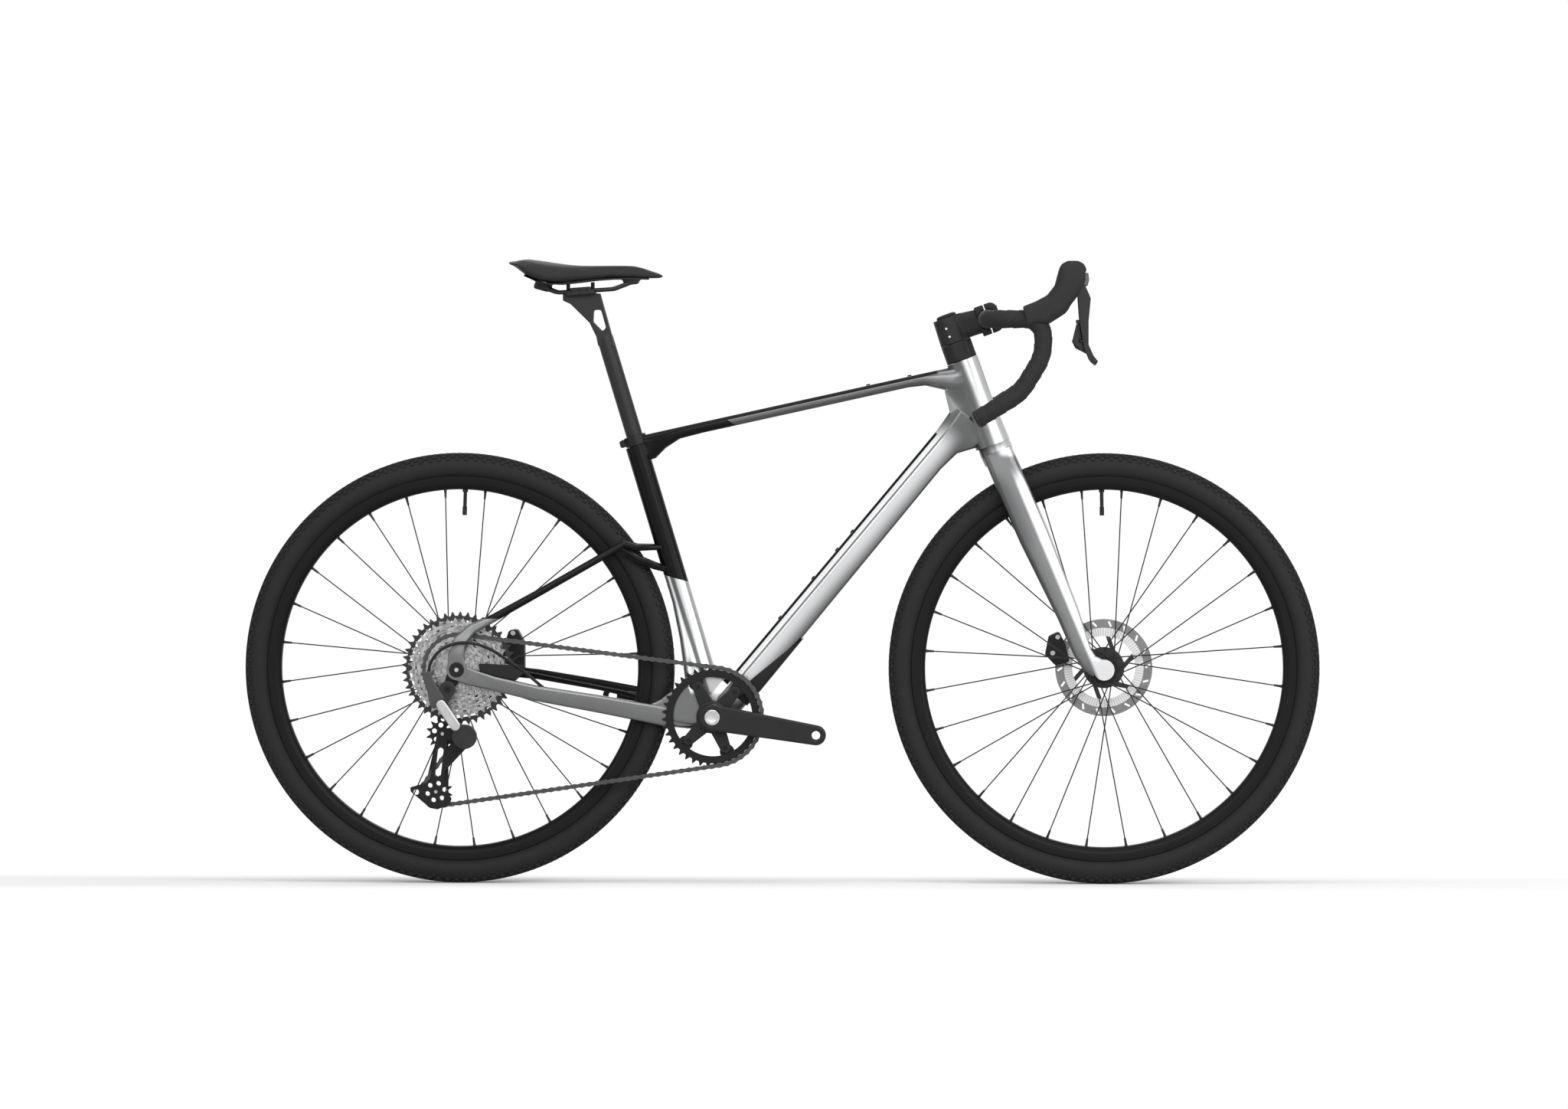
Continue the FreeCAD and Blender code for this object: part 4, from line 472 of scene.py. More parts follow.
def plain_finish(name, colour, roughness, metallic=0.0, grain=900.0, depth=0.00006, gloss=0.16):
    """Finish with a fine grain: it varies the tone and the gloss a little, and lifts the surface."""
    material, place = new_finish(name)
    fine = noise(place, grain, 4.0)
    broad = noise(place, grain * 0.06, 3.0)
    values = {
        "Base Color": (fine * 0.5 + broad * 0.5).tint(grey(colour * 0.75), grey(colour * 1.3)),
        "Metallic": metallic,
        "Roughness": (roughness - 0.06) + broad * 0.1 + fine * 0.04,
        "Specular IOR Level": gloss,
        "Normal": bump(fine, 0.35, depth),
    }
    return finished(material, values)


guard_plastic = plain_finish("guard_plastic", 0.010, 0.5, depth=0.0002)
pad_rubber = plain_finish("pad_rubber", 0.009, 0.62, grain=1200.0, depth=0.0002)
copied("downtube_guard", guard_plastic)
cast("chainstay_guard", pad_rubber, 0.0012, 4)

# Seat collar, hanger, axles, bearings and cups: turned and forged aluminium, anodised black. The front axle
# is silver, like the fork that it runs through.

black_alloy = plain_finish("black_alloy", 0.012, 0.36, 0.35, grain=700.0)
collar_piece = cast("seat_collar", black_alloy, 0.0009, 3)
for node in ("derailleur_hanger", "rear_axle", "bottom_bracket", "headset_bearings"):
    copied(node, black_alloy)
copied("front_axle", paint)

# The fork: carbon blades and crown on a tapered steerer, painted silver like the head tube.

copied("fork", paint, 40)

# Tyres: black rubber on a fabric casing. The sidewalls are smooth, and small blocks stand on the tread,
# larger at the shoulders. The casing is turned, and the blocks repeat round it.

front_axle = Vector((0.53, 0.0, 0.354))
rear_axle = Vector((-0.53, 0.0, 0.354))
wheels = (("front", front_axle), ("rear", rear_axle))


def lathe(name, axle, profile, segments):
    """Ring turned about an axle along Y from the (side, radius) corners round its section."""
    shape = bmesh.new()
    rings = []
    for i in range(segments):
        angle = 2 * math.pi * i / segments
        ray = Vector((math.sin(angle), 0.0, math.cos(angle)))
        corners = [axle + ray * radius + Vector((0, side, 0)) for side, radius in profile]
        rings.append([shape.verts.new(corner) for corner in corners])
    joined_rings(shape, rings + rings[:1])
    bmesh.ops.remove_doubles(shape, verts=shape.verts, dist=1e-7)
    return built(name, shape)


def new_tree(name, inputs):
    """Empty geometry tree with named inputs: gives the tree and its input sockets by name."""
    tree = bpy.data.node_groups.new(name, "GeometryNodeTree")
    tree.interface.new_socket("Geometry", in_out="OUTPUT", socket_type="NodeSocketGeometry")
    for label, kind in inputs.items():
        tree.interface.new_socket(label, in_out="INPUT", socket_type="NodeSocket" + kind)
    source = tree.nodes.new("NodeGroupInput")
    return tree, {label: source.outputs[label] for label in inputs}


def turned_by(tree, angle):
    """Rotation in the side view by an angle."""
    heading = grow(tree, "ShaderNodeCombineXYZ", {}, {1: angle}).outputs[0]
    return grow(tree, "FunctionNodeEulerToRotation", {}, {0: heading}).outputs[0]


def ending(tree, given, label, sockets):
    """Closes a tree: the given object on every point, as real meshes in the given material."""
    shape = grow(tree, "GeometryNodeObjectInfo", {}, {"Object": given[label]}).outputs["Geometry"]
    placed = grow(tree, "GeometryNodeInstanceOnPoints", {}, {"Instance": shape, **sockets}).outputs[0]
    real = grow(tree, "GeometryNodeRealizeInstances", {}, {0: placed}).outputs[0]
    coat = {"Geometry": real, "Material": given["Material"]}
    coated = grow(tree, "GeometryNodeSetMaterial", {}, coat).outputs[0]
    grow(tree, "NodeGroupOutput", {}, {0: coated})
    return tree


def run_tree(carrier, tree, values):
    """Runs a geometry tree on an object, and leaves the result as its plain mesh."""
    modifier = carrier.modifiers.new(tree.name, "NODES")
    modifier.node_group = tree
    for item in tree.interface.items_tree:
        if item.in_out == "INPUT" and item.name in values:
            modifier[item.identifier] = values[item.name]
    return settled(carrier)


def row_tree():
    """Blocks in one row round a wheel."""
    inputs = {"Count": "Int", "Radius": "Float", "Side": "Float", "Start": "Float", "Axle": "Vector"}
    inputs.update({"Block": "Object", "Material": "Material"})
    tree, given = new_tree("tread_row", inputs)
    index = tree.nodes.new("GeometryNodeInputIndex").outputs[0]

    def maths(operation, first, second):
        return grow(tree, "ShaderNodeMath", {"operation": operation}, {0: first, 1: second}).outputs[0]

    share = maths("DIVIDE", maths("ADD", index, given["Start"]), given["Count"])
    angle = maths("MULTIPLY", share, 2 * math.pi)
    across = maths("MULTIPLY", maths("SINE", angle, 0.0), given["Radius"])
    height = maths("MULTIPLY", maths("COSINE", angle, 0.0), given["Radius"])
    spot = grow(tree, "ShaderNodeCombineXYZ", {}, {0: across, 1: given["Side"], 2: height}).outputs[0]
    spot = grow(tree, "ShaderNodeVectorMath", {"operation": "ADD"}, {0: spot, 1: given["Axle"]}).outputs[0]
    points = grow(tree, "GeometryNodePoints", {}, {"Count": given["Count"], "Position": spot}).outputs[0]
    return ending(tree, given, "Block", {"Points": points, "Rotation": turned_by(tree, angle)})


def tread_block(name, length, width, height, lean):
    """Block with sloping flanks: its top looks out along Z, and it leans to one side by an angle."""
    shape = bmesh.new()
    top_length, top_width = length * 0.78, width * 0.8
    foot, top = [], []
    for x, y in ((-0.5, -0.5), (0.5, -0.5), (0.5, 0.5), (-0.5, 0.5)):
        foot.append(shape.verts.new((x * length, y * width, -height)))
        top.append(shape.verts.new((x * top_length, y * top_width, 0.0)))
    shape.faces.new(top)
    joined_rings(shape, [foot, top])
    bmesh.ops.rotate(shape, matrix=Matrix.Rotation(-lean, 3, "X"), verts=shape.verts)
    return built(name, shape)


def tyre_rubber():
    material, place = new_finish("tyre_rubber")
    fine = noise(place, 1500.0, 3.0)
    broad = noise(place, 14.0, 3.0)
    values = {
        "Base Color": (broad * 0.6 + fine * 0.4).tint(grey(0.006), grey(0.016, 0.01)),
        "Roughness": 0.6 + broad * 0.2,
        "Specular IOR Level": 0.16,
        "Normal": bump(fine, 0.4, 0.0003),
    }
    return finished(material, values)


def joined_pieces(pieces):
    """One object from several meshes, with the material of the first."""
    shape = bmesh.new()
    for piece in pieces:
        shape.from_mesh(piece.data)
    mesh = pieces[0].data.copy()
    shape.to_mesh(mesh)
    shape.free()
    pieces[0].data = mesh
    for piece in pieces[1:]:
        bpy.data.objects.remove(piece)
    return pieces[0]


def smooth_shaded(piece):
    for face in piece.data.polygons:
        face.use_smooth = True
    return piece


def mirrored(half):
    """Other half of a section, back along its other side."""
    return [(-side, radius) for side, radius in reversed(half)]


rubber = tyre_rubber()
casing_half = [
    (0.0093, 0.3097), (0.0123, 0.3097), (0.0123, 0.3168), (0.0166, 0.3190), (0.0199, 0.3225),
    (0.0217, 0.3268), (0.0224, 0.3315), (0.0220, 0.3362), (0.0206, 0.3404), (0.0184, 0.3441),
    (0.0152, 0.3472), (0.0112, 0.3497), (0.0062, 0.3513),
]
casing_inside = [(-0.0093, 0.3187), (-0.0175, 0.3290), (-0.0120, 0.3430), (0.0, 0.3470)]
casing_profile = casing_half + [(0.0, 0.3518)] + mirrored(casing_half)
casing_profile += casing_inside + mirrored(casing_inside[:-1])
tread = row_tree()
# Rows from the middle out: how many blocks, the row's radius, side and start, and a block's length, width,
# height and lean.
tread_rows = (
    (216, 0.3540, 0.0, 0.0, (0.0062, 0.0052, 0.0026, 0.0)),
    (216, 0.3536, 0.0058, 0.5, (0.0064, 0.0046, 0.0026, 0.10)),
    (216, 0.3524, 0.0108, 0.0, (0.0062, 0.0044, 0.0027, 0.33)),
    (144, 0.3496, 0.0160, 0.3, (0.0086, 0.0058, 0.0030, 0.62)),
    (144, 0.3446, 0.0203, 0.8, (0.0062, 0.0048, 0.0024, 0.95)),
)
for wheel, axle in wheels:
    whole = [smooth_shaded(lathe(wheel + "_tyre_piece", axle, casing_profile, 168))]
    for count, radius, side, start, (length, width, height, lean) in tread_rows:
        for hand in (1, -1) if side else (1,):
            block = tread_block("block", length, width, height, hand * lean)
            row = linked("row", bpy.data.meshes.new("row"))
            values = {"Count": count, "Radius": radius, "Side": hand * side, "Start": start}
            values.update({"Axle": axle, "Block": block, "Material": rubber})
            whole.append(run_tree(row, tread, values))
            bpy.data.objects.remove(block)
    seated(joined_pieces(whole), rubber, wheel + "_tyre")

# Rims: hooked carbon hoops, turned from one section, in satin black with a faint mottle.

rim_half = [
    (0.0065, 0.3055), (0.0090, 0.3095), (0.0125, 0.3095), (0.0125, 0.3160), (0.0130, 0.3165),
    (0.0146, 0.3165), (0.0150, 0.3160), (0.0150, 0.3045), (0.0144, 0.3015), (0.0126, 0.2985),
    (0.0098, 0.2953), (0.0062, 0.2938),
]
rim_profile = rim_half + mirrored(rim_half)
rim_black = plain_finish("rim_black", 0.004, 0.4, grain=500.0, depth=0.00008, gloss=0.1)
for wheel, axle in wheels:
    seated(creased(lathe(wheel + "_rim_piece", axle, rim_profile, 180), 32), rim_black, wheel + "_rim")

# Spokes: thin black steel, crossed twice, from the hub's flanges to black nipples in the rim.


def ring_about(shape, centre, across, up, radii):
    """Ring of corners about a point, each as far out as its own radius."""
    ring = []
    for k, radius in enumerate(radii):
        angle = 2 * math.pi * k / len(radii)
        ring.append(shape.verts.new(centre + (across * math.cos(angle) + up * math.sin(angle)) * radius))
    return ring


def tapered_bar(shape, start, end, first, last, sides):
    """Round bar between two points, added to a mesh that is being built."""
    run = (end - start).normalized()
    across = run.cross(Vector((0, 1, 0))).normalized()
    up = run.cross(across)
    ends = ((start, first), (end, last))
    closed_rings(shape, [ring_about(shape, centre, across, up, [radius] * sides) for centre, radius in ends])


def ray_at(degrees):
    """Unit vector in the side view: 0 is forward, 90 is up."""
    angle = math.radians(degrees)
    return Vector((math.cos(angle), 0.0, math.sin(angle)))


spoke_steel = plain_finish("spoke_steel", 0.02, 0.33, 0.6, depth=0.00003)
spoke_count = 28
spoke_pitch = 360.0 / spoke_count
spoke_radius = 0.001
spoke_end = 0.2935
spoke_length = 0.2937
flange_radius = 0.020
flange_run = 0.00828
head_offset = 0.0027
rim_offset = 0.0015
nipple_length = 0.013
nipple_head = 0.003
for wheel, axle, right, left, wheel_turn in (
    ("front", front_axle, 0.032, 0.020, 0.8),
    ("rear", rear_axle, 0.019, 0.034, -1.8),
):
    lacing = bmesh.new()
    for i in range(spoke_count):
        rim_angle = 90 + wheel_turn + (i + 0.5) * spoke_pitch
        flange, rim_side = (left, rim_offset) if i % 2 else (-right, -rim_offset)
        trail = 1 if i % 4 < 2 else -1
        drift = flange_run * (abs(flange) - rim_offset) / spoke_length if trail * flange > 0 else 0.0
        start = axle + ray_at(rim_angle + trail * 4 * spoke_pitch) * flange_radius
        start.y = flange + trail * (head_offset + drift)
        end = axle + ray_at(rim_angle) * spoke_end
        end.y = rim_side
        run = (end - start).normalized()
        neck = end - run * nipple_head
        tapered_bar(lacing, start, end, spoke_radius, spoke_radius, 8)
        tapered_bar(lacing, end - run * nipple_length, neck, 0.0017, 0.0021, 8)
        tapered_bar(lacing, neck, end, 0.0021, 0.0028, 8)
    seated(creased(built(wheel + "_spokes_piece", lacing), 40), spoke_steel, wheel + "_spokes")

# Hubs: turned aluminium shells in black anodising. Valves: black anodised stems with a collar and cap.

for wheel in ("front", "rear"):
    copied(wheel + "_hub", black_alloy)
    copied(wheel + "_valve", black_alloy, 40)

# Rotors: a slotted stainless braking band with a finned aluminium core, on a black splined carrier.


def polar(place, axle):
    """Distance from an axle, angle round it, and place along it."""
    x, y, z = axes(place)
    x = x - axle.x
    z = z - axle.z
    return (x * x + z * z) ** 0.5, x.sum("ARCTAN2", z, x), y


def rotor_steel(name, axle):
    material, place = new_finish(name)
    radius, angle = polar(place, axle)[:2]
    carrier = 1 - radius.rise(0.0516, 0.0519)
    core = (1 - radius.rise(0.0655, 0.0658)) * (1 - carrier)
    brushed = place.node("ShaderNodeCombineXYZ", {}, {0: radius * 1800.0, 1: angle * 3.0})
    streak = noise(brushed, 1.0)
    ribs = angle.sum("SINE", angle * 90.0, 0.0)
    band = streak.tint(grey(0.10), grey(0.22))
    fins = ribs.rise(-1.0, 1.0).tint(grey(0.38), grey(0.54))
    metal = core.tint(band, fins)
    values = {
        "Base Color": carrier.tint(metal, grey(0.012)),
        "Metallic": 0.9 - carrier * 0.6,
        "Roughness": 0.3 + streak * 0.1 + core * 0.12,
        "Normal": bump(streak * 0.2 + ribs * core * 0.4, 0.2, 0.0002),
    }
    return finished(material, values)


for wheel, axle in wheels:
    copied(wheel + "_rotor", rotor_steel(wheel + "_rotor_steel", axle))

# Brake calipers: cast aluminium blocks, black, each with two pads on steel backs in its slot.

caliper_black = plain_finish("caliper_black", 0.010, 0.45, 0.2, grain=1400.0, depth=0.0001)
pad_steel = plain_finish("pad_steel", 0.22, 0.5, 0.7)
caliper_pieces = {}
for wheel in ("front", "rear"):
    caliper_pieces[wheel] = cast(wheel + "_caliper", caliper_black, 0.0011, 3)
    copied(wheel + "_brake_pads", pad_steel)

# Stem, spacers, faceplate, top cap and bar: aluminium, shot-blasted and anodised satin black.

satin_black = plain_finish("satin_black", 0.012, 0.44, 0.25, grain=1100.0, depth=0.00008)
stem_pieces = {}
for node in ("stem", "stem_faceplate", "headset_spacers", "top_cap"):
    stem_pieces[node] = cast(node, satin_black, 0.0011, 4)
copied("handlebar", satin_black)

# Bar tape: a foam strip wound round the bar from the end to the clamp, each turn lapping the last.

bar_centre = Vector((0.33912, 0.0, 0.92814))


def bent_line(corners, radii, step):
    """Even points along straight runs that are joined by round bends."""
    line = [corners[0]]
    for k in range(1, len(corners) - 1):
        corner = corners[k]
        back = (corners[k - 1] - corner).normalized()
        ahead = (corners[k + 1] - corner).normalized()
        half = back.angle(ahead) / 2
        inward = (back + ahead).normalized()
        radius = radii[k - 1]
        middle = corner + inward * (radius / math.sin(half))
        first = (corner + back * (radius / math.tan(half)) - middle).normalized()
        last = (corner + ahead * (radius / math.tan(half)) - middle).normalized()
        pieces = 24
        for i in range(pieces + 1):
            line.append(middle + first.slerp(last, i / pieces) * radius)
    line.append(corners[-1])
    even = [line[0]]
    spare = step
    for first, last in zip(line, line[1:]):
        run = (last - first).length
        reach = spare
        while reach < run:
            even.append(first.lerp(last, reach / run))
            reach += step
        spare = reach - run
    even.append(line[-1])
    return even


def bar_line(side, start, step):
    reach, drop, half, flare = 0.091, 0.161, 0.208, 0.016
    places = (
        (0.0, start, 0.0),
        (0.0, half - 0.008, 0.0),
        (reach, half, 0.0),
        (reach, half + 0.3 * flare, -0.37 * drop),
        (0.6 * reach, half + 0.7 * flare, -0.74 * drop),
        (-0.15 * reach, half + flare, -drop),
    )
    corners = [bar_centre + Vector((x, side * y, z)) for x, y, z in places]
    return bent_line(corners, (0.042, 0.030, 0.075, 0.075), step)


def wound_tape(side):
    bar_radius, foam, lap_rise, lap = 0.0119, 0.0018, 0.0014, 0.019
    step = 0.0016
    sides = 28
    points = bar_line(side, 0.046, step)
    shape = bmesh.new()
    rings = []
    across = Vector((0, 0, 1))
    for i, point in enumerate(points):
        run = (points[min(i + 1, len(points) - 1)] - points[max(i - 1, 0)]).normalized()
        across = (across - run * across.dot(run)).normalized()
        radii = []
        for k in range(sides):
            phase = (i * step / lap - side * k / sides) % 1.0
            edge = min(1.0, phase / 0.1)
            radii.append(bar_radius + foam + lap_rise * edge * (1.0 - 0.75 * phase))
        rings.append(ring_about(shape, point, across, run.cross(across), radii))
    closed_rings(shape, rings)
    return smooth_shaded(built("tape", shape))


tape_foam = plain_finish("tape_foam", 0.013, 0.68, grain=1600.0, depth=0.0003)
tape = joined_pieces([wound_tape(-1), wound_tape(1)])
tape.name = "bar_tape_piece"
seated(tape, tape_foam, "bar_tape")
copied("bar_end_plugs", guard_plastic, 40)

# Levers: resin brackets under rubber hoods, with black forged blades on pins. Each blade has a pale cap at
# its head, and the right one has a shift paddle behind it: a broad wing on the blade's inner side.

hood_rubber = plain_finish("hood_rubber", 0.014, 0.66, grain=1300.0, depth=0.0003)
lever_black = plain_finish("lever_black", 0.014, 0.36, 0.2, depth=0.00005)
cast("lever_hoods", hood_rubber, 0.0015, 14)
copied("lever_brackets", guard_plastic)
cast("brake_lever_right", lever_black, 0.0008, 4)
cast("brake_lever_left", lever_black, 0.0008, 4)
lever_side = 0.208
wing_places = (
    (0.4877, 0.9244), (0.4764, 0.8921), (0.4818, 0.8812), (0.5074, 0.8679), (0.503, 0.884), (0.494, 0.922),
)
rib_places = ((0.4795, 0.905), (0.4845, 0.912), (0.4865, 0.897), (0.4815, 0.889))
wing = (wing_places, 0.0095 - lever_side, 0.0122 - lever_side)
rib = (rib_places, 0.001 - lever_side, 0.0105 - lever_side)
paddle = [plates("shift_paddle_piece", (wing, rib), 0.0006, 4), moulded("shift_paddle", 0.0006, 3)]
seated(joined_pieces(paddle), lever_black, "shift_paddle")
cap_grey = plain_finish("cap_grey", 0.07, 0.42, 0.6, depth=0.00005)
cap_places = (
    (0.489, 0.992), (0.494, 0.983), (0.502, 0.982), (0.5045, 0.992), (0.503, 1.003), (0.497, 1.0035),
)
cap_half = 0.0055
for hand, body in ((-1, "right_lever"), (1, "left_lever")):
    cap = (cap_places, hand * lever_side - cap_half, hand * lever_side + cap_half)
    fixed(plates(body + "_cap", [cap], 0.0006, 3), cap_grey, body)

# Seatpost, clamp and rails: a carbon post with a moulded head, an alloy cradle on two upright bolts, and
# hollow steel rails.

post_carbon = plain_finish("post_carbon", 0.016, 0.4, 0.1, grain=800.0, depth=0.00008)
rail_steel = plain_finish("rail_steel", 0.02, 0.34, 0.7, depth=0.00004)
cast("seatpost", post_carbon, 0.0012, 4)
clamp_piece = cast("saddle_clamp", black_alloy, 0.0008, 3)
copied("saddle_rails", rail_steel)
clamp_bolts = bmesh.new()
bolt_radius = 0.0032
for x in (-0.351, -0.3106):
    foot, top = Vector((x, 0.0, 0.964)), Vector((x, 0.0, 0.9885))
    tapered_bar(clamp_bolts, foot, top, bolt_radius, bolt_radius, 16)
fixed(creased(built("clamp_bolts", clamp_bolts), 40), black_alloy, "seat")

# Saddle: foam under a matt cover, drawn tight over a moulded shell. The pad is swelled as a cloth skin
# under pressure, so its sides pull in towards the shell's edge.


def swelled(node, voxel, shrink, pressure, cap):
    """Copy of a soft solid, blown up as a closed skin by up to the cap."""
    piece = merged_copy(node)
    melted(piece, voxel)
    shrinking = piece.modifiers.new("shrink", "DISPLACE")
    shrinking.strength = -shrink
    shrinking.mid_level = 0.0
    settled(piece)
    rest = [vert.co.copy() for vert in piece.data.vertices]
    skin = piece.modifiers.new("skin", "CLOTH")
    skin.settings.use_pressure = True
    skin.settings.uniform_pressure_force = pressure
    skin.settings.effector_weights.gravity = 0.0
    skin.point_cache.frame_start = 1
    skin.point_cache.frame_end = 20
    for step in range(1, 21):
        scene.frame_set(step)
    settled(piece)
    scene.frame_set(1)
    for vert, before in zip(piece.data.vertices, rest):
        move = vert.co - before
        if move.length > cap:
            vert.co = before + move.normalized() * cap
    evened(piece, 3)
    fine = piece.modifiers.new("fine", "SUBSURF")
    fine.levels = fine.render_levels = 1
    settled(piece)
    return smooth_shaded(piece)


cover_skin = plain_finish("cover_skin", 0.012, 0.58, grain=1500.0, depth=0.0003)
cover = swelled("saddle_cover", 0.0045, 0.0018, 3.0, 0.003)
seated(cover, cover_skin, "saddle_cover")
cast("saddle_shell", guard_plastic, 0.0014, 3)

# Cassette: twelve stamped steel cogs on a freehub body. All are bare steel but the largest, which is
# black aluminium.


def cog_steel():
    material, place = new_finish("cog_steel")
    radius, angle, y = polar(place, rear_axle)
    largest = y.rise(-0.0318, -0.0312)
    brushed = place.node("ShaderNodeCombineXYZ", {}, {0: radius * 1500.0, 1: angle * 2.0, 2: y * 300.0})
    streak = noise(brushed, 1.0)
    # Painted shade: dark and light arcs by radius, placed by noise, stand for the shade between the cogs and
    # in their holes.
    arcs = place.node("ShaderNodeCombineXYZ", {}, {0: radius * 260.0, 1: angle * 4.0, 2: y * 300.0})
    mottle = noise(arcs, 1.0, 1.0).rise(0.3, 0.7)
    steel = (mottle * 0.7 + streak * 0.3).tint(grey(0.17), grey(0.42))
    values = {
        "Base Color": largest.tint(steel, grey(0.014)),
        "Metallic": 0.95 - largest * 0.6,
        "Roughness": 0.22 + mottle * 0.16,
        "Normal": bump(mottle + streak * 0.3, 0.2, 0.0002),
    }
    return finished(material, values)


copied("cassette", cog_steel(), 30)
copied("freehub_body", black_alloy)

# Cranks and chainring: hollow-forged aluminium arms in satin black, and a ring cut from black plate.

crank_black = plain_finish("crank_black", 0.015, 0.4, 0.3, grain=1000.0)
ring_black = plain_finish("ring_black", 0.009, 0.42, 0.3, grain=1000.0)
right_arm = cast("crank_arm_right", crank_black, 0.0013, 4)
cast("crank_arm_left", crank_black, 0.0013, 4)
copied("chainring", ring_black, 30)

# Chain: stamped steel plates with rounded ends, in pairs on hardened pins, with a dull plated finish.
# Each link stands where the solid chain has one: narrow links hold the rollers, and wide links lap them.

chain_line = -0.0435


def link_places():
    """Middle and turn of each narrow and each wide link, read off the loose parts of the solid."""
    whole = merged_copy("chain")
    shape = bmesh.new()
    shape.from_mesh(whole.data)
    bpy.data.objects.remove(whole)
    narrow, wide = [], []
    seen = set()
    for first in shape.verts:
        if first in seen:
            continue
        seen.add(first)
        part = [first]
        for vert in part:
            for edge in vert.link_edges:
                other = edge.other_vert(vert)
                if other not in seen:
                    seen.add(other)
                    part.append(other)
        spots = [vert.co for vert in part]
        low = Vector([min(spot[k] for spot in spots) for k in range(3)])
        high = Vector([max(spot[k] for spot in spots) for k in range(3)])
        middle = (low + high) / 2
        tip = max(spots, key=lambda spot: (spot.x - middle.x) ** 2 + (spot.z - middle.z) ** 2)
        turn = -math.atan2(tip.z - middle.z, tip.x - middle.x)
        if abs(middle.y - chain_line) < 0.0003:
            narrow.append((middle, turn))
        elif middle.y < chain_line:
            wide.append((Vector((middle.x, chain_line, middle.z)), turn))
    shape.free()
    return narrow, wide


def round_outline(centre, radius, sides):
    turns = [2 * math.pi * k / sides for k in range(sides)]
    return [(centre + radius * math.cos(turn), radius * math.sin(turn)) for turn in turns]


def chain_link(name, plate_face, core_radius, core_half):
    """One link along X: two waisted plates, and a roller or a pin at each end."""
    half_pitch, end_radius, waist, plate = 0.00635, 0.0041, 0.0027, 0.0007
    outline = []
    for end in (1, -1):
        for k in range(7):
            turn = math.radians(-120 + 40 * k)
            along = half_pitch + end_radius * math.cos(turn)
            outline.append((end * along, end * end_radius * math.sin(turn)))
        outline.append((0.0, end * waist))
    shape = bmesh.new()
    for hand in (1, -1):
        prism_between(shape, outline, hand * plate_face, hand * (plate_face + plate))
        prism_between(shape, round_outline(hand * half_pitch, core_radius, 8), -core_half, core_half)
    return built(name, shape)


def named(tree, kind, label):
    """What each point holds under a name."""
    return grow(tree, "GeometryNodeInputNamedAttribute", {"data_type": kind}, {"Name": label}).outputs[0]


def link_tree():
    """A link on every point, turned in the side view by the point's own angle."""
    tree, given = new_tree("chain_run", {"Places": "Geometry", "Link": "Object", "Material": "Material"})
    turned = turned_by(tree, named(tree, "FLOAT", "turn"))
    return ending(tree, given, "Link", {"Points": given["Places"], "Rotation": turned})


chain_steel = plain_finish("chain_steel", 0.06, 0.36, 0.85, grain=1200.0, depth=0.00005)
chain_tree = link_tree()
narrow_links, wide_links = link_places()
chain_runs = []
for places, plate_face, core_radius, core_half in (
    (narrow_links, 0.0011, 0.0038, 0.0011),
    (wide_links, 0.00185, 0.0019, 0.00275),
):
    link = chain_link("link", plate_face, core_radius, core_half)
    dots = bpy.data.meshes.new("link_places")
    dots.from_pydata([middle for middle, turn in places], [], [])
    dots.attributes.new("turn", "FLOAT", "POINT").data.foreach_set("value", [turn for middle, turn in places])
    run = linked("chain_piece", dots)
    chain_runs.append(run_tree(run, chain_tree, {"Link": link, "Material": chain_steel}))
    bpy.data.objects.remove(link)
seated(creased(joined_pieces(chain_runs), 35), chain_steel, "chain")

# Derailleur: forged body and knuckle in black, joined by two links, with a sprung cage of two plates
# that holds two resin pulleys. The shift housing loops from the chainstay into a broad grey arm on the body.

link_silver = plain_finish("link_silver", 0.4, 0.3, 0.9, depth=0.00004)
pulley_resin = plain_finish("pulley_resin", 0.010, 0.5, grain=1000.0, depth=0.0001)
housing_black = plain_finish("housing_black", 0.010, 0.48, grain=1400.0, depth=0.0001)
mech_grey = plain_finish("mech_grey", 0.022, 0.38, 0.5, gloss=0.25)
mech_body = cast("derailleur_body", mech_grey, 0.0010, 3)
cast("derailleur_links", link_silver, 0.0007, 3)
cast("derailleur_knuckle", mech_grey, 0.0010, 3)
cage_piece = copied("derailleur_cage", black_alloy)
copied("guide_pulley", pulley_resin, 30)
copied("tension_pulley", pulley_resin, 30)
copied("shift_housing", housing_black, 40)
arm_places = (
    (-55, -3), (-43, -2), (-37, -16), (-19, -46), (-21, -51), (-37, -64), (-43, -56), (-48, -30), (-54, -16),
)
arm_grey = plain_finish("arm_grey", 0.05, 0.38, 0.5, gloss=0.25)
arm_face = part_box("derailleur_body")[0][1]
arm = (outline_about(rear_axle, arm_places), arm_face - 0.001, arm_face + 0.004)
fixed(plates("derailleur_arm", [arm], 0.0008, 4), arm_grey, "frame")

# Axle cap: a turned black washer round the right end of the rear axle, with a bright core in its middle.

axle_end = Vector((rear_axle.x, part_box("rear_axle")[0][1], rear_axle.z))
washer_profile = [(0.002, 0.0), (0.002, 0.0122), (-0.0003, 0.0122), (-0.0008, 0.0115), (-0.0008, 0.0)]
core_profile = [(0.0, 0.0), (0.0, 0.0034), (-0.0012, 0.0034), (-0.0012, 0.0)]
fixed(creased(lathe("axle_washer", axle_end, washer_profile, 40), 32), black_alloy, "frame")
fixed(creased(lathe("axle_core", axle_end, core_profile, 24), 32), link_silver, "frame")

# Bolts: socket heads in steel and black alloy hold the collar, derailleur, calipers, stem, saddle clamp,
# chainring and pulleys, and fill the bosses for bottles and a bag. Each head stands where a straight line
# from outside meets the piece that it holds.


